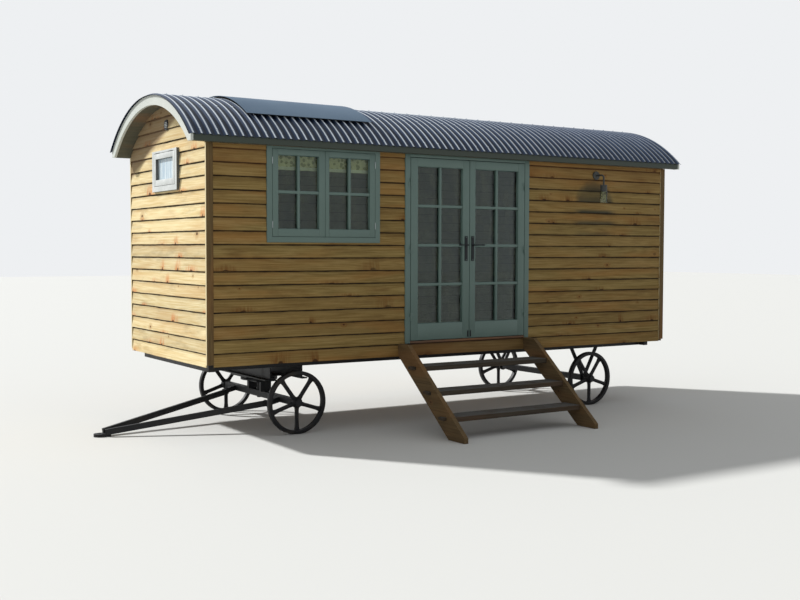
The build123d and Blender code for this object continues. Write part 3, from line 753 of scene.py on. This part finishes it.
for face in bm.faces:
    away = face.calc_center_median() - axis_point
    if away.yz.dot(face.normal.yz) < 0:
        face.normal_flip()
bmesh.ops.solidify(bm, geom=bm.faces[:], thickness=SHEET_THICK)
slate = Finish("slate_coating")
where = slate.place()
where_x = slate.split(where)[0]
streaks = slate.noise(where, (22.0, 1.6, 1.6), 4.0)
bloom = slate.noise(where, 3.0, 5.0, 0.6)
crest = ((where_x - roof_low.x) / pitch).maths("PINGPONG", 0.5) * 2.0
crest_glint = (0.6 + streaks * 0.5) * (0.46 + where_x.smooth(middle_x + 2.4, middle_x - 1.0) * 0.64)
shade = slate.mix(streaks.smooth(0.35, 0.75) * 0.5, (36, 53, 79), (55, 74, 103))
shade = slate.mix(bloom.smooth(0.55, 0.8) * 0.2, shade, (88, 96, 104))
# Painted shade in the valleys, then a painted highlight along each crest, stronger toward the towing end.
shade = slate.mix(crest.smooth(0.62, 0.08) * 0.85, shade, (18, 25, 33))
shade = slate.mix(crest.smooth(0.70, 0.94) * crest_glint, shade, (228, 236, 242))
slate.surface(Base_Color=shade, Roughness=0.42 + bloom * 0.15, Metallic=0.25, Specular_IOR_Level=0.3)
finish_piece("corrugated_sheets", bm, slate, "roof_steel", "roof_sheet", smooth_under=50)

SCREW_ROWS = (-42.6, -26.0, -9.0, 9.0, 26.0, 42.6)
bm = bmesh.new()
for row in SCREW_ROWS:
    outward = radial(math.radians(row))
    for index in range(1, SHEETS * PITCHES_PER_SHEET, 2):
        x = roof_low.x + (index + 0.5) * pitch
        crest = axis_point + Vector((x, 0, 0)) + outward * (ROOF_RADIUS - 0.0008)
        add_cone(bm, 12, 0.0085, 0.0078, 0.0016, facing(outward, crest))
        add_cone(bm, 6, 0.0048, 0.0042, 0.0045, facing(outward, crest + outward * 0.003))
finish_piece("roof_screws", bm, slate, "roof_steel")


# The roof cover
# A smooth sheet bent over the crests near the towing end, on dark spacer strips set back from its edge.
COVER_THICK = 0.003
COVER_SETBACK = 0.030
SPACER_WIDTH = 0.03
SPACER_GAP = 0.0003
SPACERS = 4
cover_low, cover_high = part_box("roof_cover")
cover_radius = cover_high.z - roof_z
cover_half = math.asin((cover_high.y - cover_low.y) / 2 / cover_radius)
bm = bmesh.new()
add_arc_plate(bm, cover_low.x, cover_high.x, cover_radius - COVER_THICK, cover_radius, cover_half, 40)
cover = Finish("cover_coating")
film = cover.noise(cover.place(), 1.1, 3.0, 0.5)
shade = cover.mix(film.smooth(0.35, 0.75) * 0.4, (86, 106, 126), (120, 141, 159))
cover.surface(Base_Color=shade, Roughness=0.56 + film * 0.12, Specular_IOR_Level=0.15)
finish_piece("cover_sheet", bm, cover, "cover_steel", "roof_cover")

bm = bmesh.new()
under = cover_radius - COVER_THICK - SPACER_GAP
over = ROOF_RADIUS + SPACER_GAP
x0 = cover_low.x + COVER_SETBACK
x1 = cover_high.x - COVER_SETBACK
inset = cover_half - COVER_SETBACK / cover_radius
for index in range(SPACERS):
    x = x0 + (x1 - x0 - SPACER_WIDTH) * index / (SPACERS - 1)
    add_arc_plate(bm, x, x + SPACER_WIDTH, over, under, inset, 32)
for turn in (-inset + 0.01, inset - 0.01):
    add_arc_plate(bm, x0 + SPACER_WIDTH, x1 - SPACER_WIDTH, over, under, 0.01, 2, turn)
spacer = Finish("spacer_rubber")
grit = spacer.noise(spacer.place(), 120.0, 3.0)
spacer.surface(Base_Color=spacer.mix(grit, (14, 14, 15), (30, 30, 31)), Roughness=0.8)
finish_piece("cover_spacers", bm, spacer, "cover_steel")


# The bargeboards and fascias
# Timber boards cut to the roof's curve at each end, and a shallow strip under the eaves between them,
# in sage paint. The bargeboards' paint is made paler for the sun on them (painted light), and the
# strips' paint darker for the shade under the eaves (painted shade).
def sage_paint(name, colour, faded, dirt):
    """Brushed satin paint on timber, a little faded in patches, with dirt in the faint brush marks."""
    finish = Finish(name)
    where = finish.place()
    patches = finish.noise(where, 4.0, 5.0, 0.6)
    brush = finish.noise(where, 90.0, 4.0, 0.6)
    shade = finish.mix(patches.smooth(0.4, 0.75) * 0.5, colour, faded)
    shade = finish.mix(brush.smooth(0.6, 0.85) * 0.25, shade, dirt)
    return finish.surface(
        Base_Color=shade, Roughness=0.42 + patches * 0.15, Normal=finish.bump(brush, 0.0003, 0.5))


# Lit and shaded copies of the sage paint: painted light on the bargeboards, painted shade on the fascias.
sunlit_sage = sage_paint("pale_sage_paint", (184, 188, 180), (198, 200, 194), (146, 150, 140))
shaded_sage = sage_paint("olive_paint", (36, 47, 36), (43, 53, 41), (30, 36, 27))
dress("bargeboards", sunlit_sage, 0.002)
dress("eaves_fascias", shaded_sage, 0.002)


# The front window
# Two side-hung casements in a painted timber frame. Each has stiles, rails, one upright and one level
# glazing bar, and beads that hold the double glazing. Light steel hinges show on the outer stiles.
def add_joinery(bm, low, high, stiles, top_rail, bottom_rail, rows):
    """A framed sash or leaf in the plane of the front, between two corners, with its glazing bars."""
    left = low.x + stiles[0]
    right = high.x - stiles[1]
    foot = low.z + bottom_rail
    head = high.z - top_rail
    glass = low.y + GLASS_RECESS
    add_bar(bm, low, (left, high.y, high.z))
    add_bar(bm, (right, low.y, low.z), high)
    add_bar(bm, (left, low.y, low.z), (right, high.y, foot))
    add_bar(bm, (left, low.y, head), (right, high.y, high.z))
    for front, behind, ease in (
        (low.y + BAR_SETBACK, glass - GLASS_CLEAR, 0.0045),
        (glass + GLASS_THICK + GLASS_CLEAR, high.y - 0.0004, 0.0004),
    ):
        x = left + (right - left) / 2
        add_bar(bm, (x - UPRIGHT_BAR / 2, front, foot), (x + UPRIGHT_BAR / 2, behind, head), ease)
        for row in range(1, rows):
            z = foot + (head - foot) * row / rows
            add_bar(bm, (left, front + 0.0004, z - LEVEL_BAR / 2), (right, behind, z + LEVEL_BAR / 2), ease)
    for x0, x1, z0, z1 in (
        (left, left + BEAD, foot, head), (right - BEAD, right, foot, head),
        (left, right, foot, foot + BEAD), (left, right, head - BEAD, head),
    ):
        add_bar(bm, (x0, glass - BEAD, z0), (x1, glass - GLASS_CLEAR, z1), 0.0022)


SASH_GAP = 0.003
SASH_THICK = 0.045
GLASS_RECESS = 0.028
GLASS_THICK = 0.014
GLASS_CLEAR = 0.0002
BAR_SETBACK = 0.004
UPRIGHT_BAR = 0.026
LEVEL_BAR = 0.028
BEAD = 0.005
WINDOW_SIDE = 0.052
WINDOW_FOOT = 0.050
WINDOW_HEAD = 0.020
CASEMENT_STILE = 0.056
CLOSING_STILE = 0.062
LAPPED_STILE = 0.040
CASEMENT_TOP = 0.052
CASEMENT_FOOT = 0.068
HINGE_INSET = 0.105


def sash_space(node, axis):
    """Where the sashes of a window go in its frame: start, end, foot and head."""
    start, end, base, top = opening(node, axis)
    return start + WINDOW_SIDE, end - WINDOW_SIDE, base + WINDOW_FOOT + SASH_GAP, top - WINDOW_HEAD - SASH_GAP


sage = sage_paint("sage_paint", (86, 107, 100), (96, 116, 109), (68, 84, 75))
dress("front_window_frame", sage, 0.002)
face_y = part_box("front_window_frame")[0].y
x0, x1, z0, z1 = sash_space("front_window_frame", 0)
casement_width = (x1 - x0 - 3 * SASH_GAP) / 2
casements = (
    (x0 + SASH_GAP, (CASEMENT_STILE, CLOSING_STILE)),
    (x0 + 2 * SASH_GAP + casement_width, (LAPPED_STILE, CASEMENT_STILE)))
bm = bmesh.new()
for left, stiles in casements:
    low = Vector((left, face_y, z0))
    high = Vector((left + casement_width, face_y + SASH_THICK, z1))
    add_joinery(bm, low, high, stiles, CASEMENT_TOP, CASEMENT_FOOT, 2)
finish_piece("front_casements", bm, sage, "green_paint", "window_sashes")

zinc = Finish("zinc_plate")
spangle = zinc.noise(zinc.place(), 90.0, 3.0)
plated = zinc.mix(spangle, (140, 148, 148), (178, 184, 184))
zinc.surface(Base_Color=plated, Roughness=0.35 + spangle * 0.2, Metallic=0.7)
barrel = mirrored([(0, -0.030), (0.0030, -0.030), (0.0034, -0.029)])
bm = bmesh.new()
for x in (x0 + SASH_GAP / 2, x1 - SASH_GAP / 2):
    for z in (z0 + HINGE_INSET, z1 - HINGE_INSET):
        add_turned(bm, barrel, (x, face_y - 0.0022, z), (0, 0, 1), 14)
finish_piece("casement_hinges", bm, zinc, "dark_iron")


# The glass
# Clear double glazing with a faint film of dust. The small pane in the end window is reeded and obscured.
def clear_glass(name, tint, film, film_share):
    """Glass that shows what is behind it, with a gloss that follows the angle and a thin dusty film."""
    finish = Finish(name)
    clear = finish.node("BsdfTransparent", {"Color": tint})
    shine = finish.node("BsdfGlossy", {"Color": (225, 232, 236), "Roughness": 0.02})
    dust = finish.node("BsdfDiffuse", {"Color": film})
    wiped = finish.noise(finish.place(), (9.0, 9.0, 4.0), 5.0, 0.65)
    behind = finish.node("MixShader", {0: wiped.smooth(0.42, 0.66) * film_share, 1: clear, 2: dust})
    both = finish.node("MixShader", {0: finish.node("Fresnel", {"IOR": 1.4}), 1: behind, 2: shine})
    finish.node("OutputMaterial", {"Surface": both})
    return finish


glazing = clear_glass("clear_glazing", (228, 234, 228), (120, 124, 98), 0.09)
obscured = Finish("obscured_glass")
ripple = obscured.noise(obscured.place(), (0.0, 38.0, 3.0), 3.0, 0.6)
obscured.surface(
    Base_Color=obscured.mix(ripple.smooth(0.35, 0.65), (156, 176, 190), (206, 216, 218)),
    Roughness=0.15 + ripple * 0.2, Normal=obscured.bump(ripple, 0.001, 0.4))

pane_y = face_y + GLASS_RECESS
bm = bmesh.new()
for left, stiles in casements:
    low = (left + stiles[0], pane_y, z0 + CASEMENT_FOOT)
    high = (left + casement_width - stiles[1], pane_y + GLASS_THICK, z1 - CASEMENT_TOP)
    add_bar(bm, low, high, 0.0)
finish_piece("front_window_panes", bm, glazing, "clear_glass", "window_glass")
for side in ("left", "right"):
    dress(side + "_door_glass", glazing)


# The blind
# Patterned linen on a batten under the window's head, drawn up in folds by cords behind it, with a
# plain pale hem along the foot.
BLIND_DROP = 0.80
FOLD_GAP = 0.0052
FOLD_STEPS = 10
blind_low, blind_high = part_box("window_blind")
fold = blind_high.z - blind_low.z - 0.006
bm = bmesh.new()
path = []
for index in range(int(BLIND_DROP / fold) + 1):
    y = blind_low.y + 0.0018 + FOLD_GAP * index
    ends = (blind_high.z - 0.003 - 0.004 * (index > 0), blind_low.z + 0.004 + 0.010 * index)
    start, end = ends if index % 2 == 0 else reversed(ends)
    for step in range(FOLD_STEPS + 1):
        share = step / FOLD_STEPS
        belly = 0.0012 * math.sin(math.pi * share)
        path.append((y + belly, start + (end - start) * share))
line = [bm.verts.new((blind_low.x + 0.002, y, z)) for y, z in path]
edges = [bm.edges.new(pair) for pair in zip(line, line[1:])]
swept = bmesh.ops.extrude_edge_only(bm, edges=edges)
moved = [v for v in swept["geom"] if isinstance(v, bmesh.types.BMVert)]
width = blind_high.x - blind_low.x - 0.004
bmesh.ops.translate(bm, verts=moved, vec=(width, 0, 0))
bmesh.ops.subdivide_edges(bm, edges=lengthwise(bm.edges), cuts=40, use_grid_fill=True)
for vert in bm.verts:
    vert.co.y += 0.0009 * noise.noise(Vector((vert.co.x * 7, vert.co.z * 6, vert.co.y * 90)))
linen = Finish("blind_linen")
x, _, z = linen.split(linen.place())
flat_place = linen.join(x, z, 0.0)
leaves = linen.node("TexVoronoi", {"Vector": flat_place, "Scale": 22.0}, {"voronoi_dimensions": "2D"})
sprigs = linen.noise(flat_place, 30.0, 4.0, 0.6)
weave = linen.noise(flat_place, (900.0, 900.0, 1.0), 1.0)
leaf = (leaves + sprigs * 0.5).smooth(0.62, 0.52)
shade = linen.mix(leaf * 0.7, (232, 222, 172), (138, 134, 78))
shade = linen.mix(z.smooth(blind_low.z + 0.036, blind_low.z + 0.032), shade, (238, 234, 204))
linen.surface(Base_Color=shade, Roughness=0.9, Sheen_Weight=0.2, Normal=linen.bump(weave, 0.0004, 0.4))
blind = finish_piece("linen_blind", bm, linen, "blind_linen", "window_blind", smooth_under=60)


# The end window
# A small sash set flush in a frame that stands proud of the boarding, high in the towing end, in sage
# paint made pale for the sun on it (painted light), with painted shade on the faces toward the door side
# and underneath. Its pane lies deep, its joints show as dark lines, and two dark strips over it are
# painted shade.
END_STILE = 0.042
END_FOOT = 0.056
SLOT_HALF = 0.055
SLOT_RISE = 0.0035
end_paint = Finish("end_window_paint")
patches = end_paint.noise(end_paint.place(), 6.0, 5.0, 0.6)
_, toward_y, toward_z = end_paint.split(end_paint.node("NewGeometry").output("Normal"))
# Painted shade on the faces that look toward the door side and down.
painted_shade = toward_y.smooth(-0.5, -0.9) + toward_z.smooth(-0.5, -0.9)
# Painted light: the sage made pale for the sun on this end.
shade = end_paint.mix(patches.smooth(0.4, 0.75), (184, 187, 184), (200, 202, 200))
end_paint.surface(
    Base_Color=end_paint.mix(painted_shade * 0.85, shade, (58, 60, 58)),
    Roughness=0.42 + patches * 0.15, Normal=end_paint.bump(patches, 0.0003, 0.5))
dress("end_window_frame", end_paint, 0.002)
frame_low, frame_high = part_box("end_window_frame")
outside = frame_low.x
y0, y1, z0, z1 = sash_space("end_window_frame", 1)
y0 += SASH_GAP
y1 -= SASH_GAP
pane_y0, pane_y1, pane_z0, pane_z1 = y0 + END_STILE, y1 - END_STILE, z0 + END_FOOT, z1 - CASEMENT_TOP
bm = bmesh.new()
for low_y, high_y, low_z, high_z in (
    (y0, pane_y0, z0, z1), (pane_y1, y1, z0, z1),
    (pane_y0, pane_y1, z0, pane_z0), (pane_y0, pane_y1, pane_z1, z1),
):
    add_bar(bm, (outside, low_y, low_z), (outside + SASH_THICK, high_y, high_z), 0.002)
finish_piece("end_sash", bm, end_paint, "green_paint", "window_sashes")
bm = bmesh.new()
low = (outside + GLASS_RECESS, pane_y0, pane_z0)
add_bar(bm, low, (outside + GLASS_RECESS + GLASS_THICK, pane_y1, pane_z1), 0.0)
finish_piece("end_window_pane", bm, obscured, "clear_glass", "window_glass")
# The two slots are dark strips of painted shade on the frame's face.
shadow_black = Finish("slot_shadow")
soot = shadow_black.noise(shadow_black.place(), 60.0, 2.0)
shadow_black.surface(Base_Color=shadow_black.mix(soot, (20, 21, 22), (34, 34, 34)), Roughness=0.8)
slot_z = frame_high.z - WINDOW_HEAD
bm = bmesh.new()
for share in (0.24, 0.76):
    y = frame_low.y + (frame_high.y - frame_low.y) * share
    low = (outside - 0.0012, y - SLOT_HALF, slot_z - SLOT_RISE)
    add_bar(bm, low, (outside + 0.004, y + SLOT_HALF, slot_z + SLOT_RISE), 0.0005)
finish_piece("end_window_slots", bm, shadow_black, "dark_iron")


# The doors
# A pair of glazed leaves in a painted frame over an oak threshold. Each leaf has eight panes behind one
# upright and three level bars, three iron hinges and a lever on a long plate. Small bolts hold the feet.
FRAME_JAMB = 0.057
FRAME_HEAD = 0.028
STOP_WIDTH = 0.014
THRESHOLD = 0.020
LEAF_THICK = 0.044
DOOR_GAP = 0.006
stop_y = door_low.y + LEAF_THICK + DOOR_GAP
jamb_left = door_low.x + FRAME_JAMB
jamb_right = door_high.x - FRAME_JAMB
head_z = door_high.z - FRAME_HEAD
bm = bmesh.new()
for front, behind, step, ease in (
    (door_low.y, stop_y, 0.0, 0.002), (stop_y, door_high.y, STOP_WIDTH, 0.001),
):
    add_bar(bm, (door_low.x, front, door_low.z), (jamb_left + step, behind, door_high.z), ease)
    add_bar(bm, (jamb_right - step, front, door_low.z), (door_high.x, behind, door_high.z), ease)
    add_bar(bm, (jamb_left, front, head_z - step), (jamb_right, behind, door_high.z), ease)
finish_piece("door_jambs", bm, sage, "green_paint", "door_frame")
threshold_oak = Finish("threshold_oak")
shade, height = grained(threshold_oak, "X", "Y", (104, 74, 48), (72, 48, 30), 0.2)
timber(threshold_oak, shade, height, 0.6, 0.5, 0.001)
bm = bmesh.new()
add_bar(bm, (jamb_left, door_low.y, door_low.z), (jamb_right, door_high.y, door_low.z + THRESHOLD), 0.003)
finish_piece("door_threshold", bm, threshold_oak, "step_oak", "door_frame")

iron = painted_steel("dark_iron", (26, 30, 33), (42, 46, 46), 0.5)
painted_iron = sage_paint("painted_iron", (88, 109, 102), (98, 118, 110), (63, 78, 69))
LEAF_STILE = 0.080
LAPPED_LEAF_STILE = 0.068
LEAF_TOP = 0.080
LEAF_BOTTOM = 0.160
HINGES = 3
HINGE_LENGTH = 0.038
for side, sign, stiles in (
    ("left", -1, (LEAF_STILE, LEAF_STILE)), ("right", 1, (LAPPED_LEAF_STILE, LEAF_STILE)),
):
    low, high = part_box(side + "_door_leaf")
    body = side + "_door"
    bm = bmesh.new()
    add_joinery(bm, low, high, stiles, LEAF_TOP, LEAF_BOTTOM, 4)
    finish_piece(side + "_leaf_joinery", bm, sage, "green_paint", side + "_door_leaf", body=body)
    dress(side + "_door_hinges", painted_iron, 0.0008)
    dress(side + "_door_plate", iron, 0.0008)
    plate_low, plate_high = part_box(side + "_door_plate")
    x = (plate_low.x + plate_high.x) / 2
    bm = bmesh.new()
    for z in (plate_low.z + 0.012, plate_high.z - 0.012):
        dome = [(0, 0.0), (0.0045, 0.0), (0.0042, 0.0012), (0.0028, 0.0024), (0, 0.0028)]
        add_turned(bm, dome, (x, plate_low.y, z), (0, -1, 0), 12)
    hinge_low, hinge_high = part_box(side + "_door_hinges")
    screw_x = (hinge_low.x if sign > 0 else hinge_high.x) + sign * 0.009
    for index in range(HINGES):
        z = hinge_low.z + (hinge_high.z - hinge_low.z - HINGE_LENGTH) * index / (HINGES - 1)
        for up in (0.009, 0.028):
            dome = [(0, 0.0), (0.0035, 0.0), (0.003, 0.0008), (0, 0.0012)]
            add_turned(bm, dome, (screw_x, low.y - 0.003, z + up), (0, -1, 0), 10)
    finish_piece(side + "_door_screws", bm, painted_iron, "dark_iron", body=body)
    bm = bmesh.new()
    x = (low.x if sign > 0 else high.x) + sign * 0.013
    add_bar(bm, (x - 0.007, low.y - 0.002, low.z + 0.012), (x + 0.007, low.y, low.z + 0.074), 0.0008)
    rod = [(0, -0.030), (0.004, -0.030), (0.004, 0.028), (0.0028, 0.030), (0, 0.030)]
    add_turned(bm, rod, (x, low.y - 0.0048, low.z + 0.044), (0, 0, 1), 12)
    finish_piece(side + "_foot_bolt", bm, iron, "dark_iron", body=body)

    lever_low, lever_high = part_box(side + "_door_lever")
    z = (lever_low.z + lever_high.z) / 2
    radius = (lever_high.z - lever_low.z) / 2
    x = lever_high.x - radius if sign < 0 else lever_low.x + radius
    reach = lever_high.x - lever_low.x - radius
    bm = bmesh.new()
    rose = [(0, 0.0), (0.013, 0.0), (0.013, 0.004), (0.011, 0.006), (radius, 0.007), (0, 0.007)]
    add_turned(bm, rose, (x, plate_low.y, z), (0, -1, 0), 24)
    neck = [(0, 0.0), (radius * 0.95, 0.0), (radius * 0.8, 0.016), (radius * 0.82, 0.034), (0, 0.034)]
    add_turned(bm, neck, (x, plate_low.y - 0.006, z), (0, -1, 0), 20)
    grip = [
        (0, -0.0075), (radius * 0.6, -0.006), (radius * 0.95, 0.0), (radius * 0.9, 0.02),
        (radius * 0.7, 0.05), (radius * 0.75, 0.08), (radius * 0.95, reach - 0.012),
        (radius * 0.7, reach - 0.002), (0, reach)]
    add_turned(bm, grip, (x, lever_low.y + radius, z), (sign, 0, 0), 20)
    finish_piece(side + "_lever_handle", bm, iron, "dark_iron", side + "_door_lever", body=side + "_lever")
dress("door_hinge_pins", painted_iron, 0.0008)


# The steps
# Three oak treads tenoned through two oak stringers, left to weather: grey and worn on top, browner on
# the front edges.
step_oak = Finish("step_oak")
shade, height = grained(step_oak, "X", "Y", (78, 70, 59), (50, 43, 35), 0.25, (36, 30, 24), 0.25)
flat_top = step_oak.split(step_oak.node("NewGeometry").output("Normal"))[2].smooth(0.6, 0.95)
wear = step_oak.noise(step_oak.place(), 7.0, 5.0, 0.6)
shade = step_oak.mix(flat_top * wear.smooth(0.2, 0.6) * 0.8, shade, (88, 88, 86))
dress("step_treads", timber(step_oak, shade, height, 0.8, 0.2, 0.002, 0.8), 0.004)
stringer_oak = Finish("stringer_oak")
shade, height = grained(stringer_oak, "Y", "Z", (112, 92, 62), (78, 62, 40), 0.3, (50, 36, 24), 0.6)
dress("step_stringers", timber(stringer_oak, shade, height, 0.75, 0.2, 0.0016, 0.7), 0.003)


# The wall lamp
# A weathered metal plate with a swan neck that carries a cap and a clear jar.
lamp_metal = painted_steel("lamp_metal", (64, 66, 64), (96, 96, 88), 0.5)
dress("lamp_bracket", lamp_metal, 0.002)
dress("lamp_jar", clear_glass("lamp_glass", (226, 230, 214), (200, 198, 164), 0.75))


# The gable vent
# A round cast flange high in the towing end, with a raised ring round a small pale grille.
VENT_RING = 0.016
VENT_SLATS = 4
vent_low, vent_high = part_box("gable_vent")
vent_metal = painted_steel("vent_metal", (48, 50, 52), (70, 68, 62), 0.45)
grille_metal = painted_steel("grille_metal", (188, 192, 190), (140, 138, 128), 0.4)
centre = (vent_low + vent_high) / 2
back_centre = (vent_high.x, centre.y, centre.z)
radius = (vent_high.z - vent_low.z) / 2
depth = vent_high.x - vent_low.x
inner = radius - VENT_RING
bm = bmesh.new()
ring = [
    (inner, 0.0), (radius, 0.0), (radius, 0.010), (radius - 0.002, 0.014), (radius - 0.005, depth - 0.001),
    (radius - 0.008, depth), (inner + 0.002, depth - 0.001), (inner, depth - 0.004)]
add_turned(bm, ring, back_centre, (-1, 0, 0), 40)
finish_piece("vent_ring", bm, vent_metal, "dark_iron", "gable_vent")
bm = bmesh.new()
plate = [(0, 0.0), (inner + 0.001, 0.0), (inner + 0.001, depth - 0.0032), (0, depth - 0.0032)]
add_turned(bm, plate, back_centre, (-1, 0, 0), 32)
finish_piece("vent_plate", bm, vent_metal, "dark_iron")
bm = bmesh.new()
for index in range(VENT_SLATS):
    rise = (index - (VENT_SLATS - 1) / 2) * 2 * inner / (VENT_SLATS + 1)
    half = math.sqrt(inner**2 - rise**2) - 0.0005
    low = (vent_low.x + 0.0008, centre.y - half, centre.z + rise - 0.0035)
    add_bar(bm, low, (vent_low.x + 0.005, centre.y + half, centre.z + rise + 0.0035), 0.001)
finish_piece("vent_grille", bm, grille_metal, "dark_iron")


# The studio
# A pale floor under plain soft light, the key from beyond the towing end, and the photo's viewpoint.
SUN_STRENGTH = 4.8
SUN_WIDTH = math.radians(3)
SUN_FROM = (-0.47, 0.66, 0.58)
SKY_STRENGTH = 0.52
FLOOR_HALF = 60.0
bm = bmesh.new()
bmesh.ops.create_grid(bm, x_segments=1, y_segments=1, size=FLOOR_HALF)
mesh = bpy.data.meshes.new("studio_floor")
bm.to_mesh(mesh)
bm.free()
mesh.materials.append(Finish("studio_floor").surface(Base_Color=(204, 204, 200), Roughness=0.9).block)
in_scene("studio_floor", mesh)

studio = Finish("studio", bpy.data.worlds)
bpy.context.scene.world = studio.block
ray = studio.node("LightPath")
seen = ray.output("Is Camera Ray").maths("MAXIMUM", ray.output("Is Glossy Ray"))
seen = seen.maths("MAXIMUM", ray.output("Is Transmission Ray"))
soft = studio.node("Background", {"Color": (0.95, 0.97, 1.0, 1.0), "Strength": SKY_STRENGTH})
white = studio.node("Background", {"Color": (238, 240, 242), "Strength": 1.0})
studio.node("OutputWorld", {"Surface": studio.node("MixShader", {0: seen, 1: soft, 2: white})})

sun = in_scene("key_light", bpy.data.lights.new("key_light", "SUN"))
sun.data.energy = SUN_STRENGTH
sun.data.angle = SUN_WIDTH
sun.rotation_euler = Vector(SUN_FROM).to_track_quat("Z", "Y").to_euler()

CAMERA_PLACE = (-6.0545, -9.1343, 1.6936)
CAMERA_YAW = math.radians(32.58)
CAMERA_PITCH = math.radians(2.64)
CAMERA_ROLL = math.radians(0.137)
camera = in_scene("camera", bpy.data.cameras.new("camera"))
camera.data.sensor_width = 36.0
camera.data.lens = 48.41
camera.data.clip_end = 200.0
camera.location = CAMERA_PLACE
camera.rotation_mode = "XYZ"
turn = (
    Matrix.Rotation(-CAMERA_YAW, 4, "Z") @ Matrix.Rotation(math.pi / 2 - CAMERA_PITCH, 4, "X")
    @ Matrix.Rotation(CAMERA_ROLL, 4, "Z"))
camera.rotation_euler = turn.to_euler()
bpy.context.scene.camera = camera
bpy.context.scene.view_settings.view_transform = "Standard"
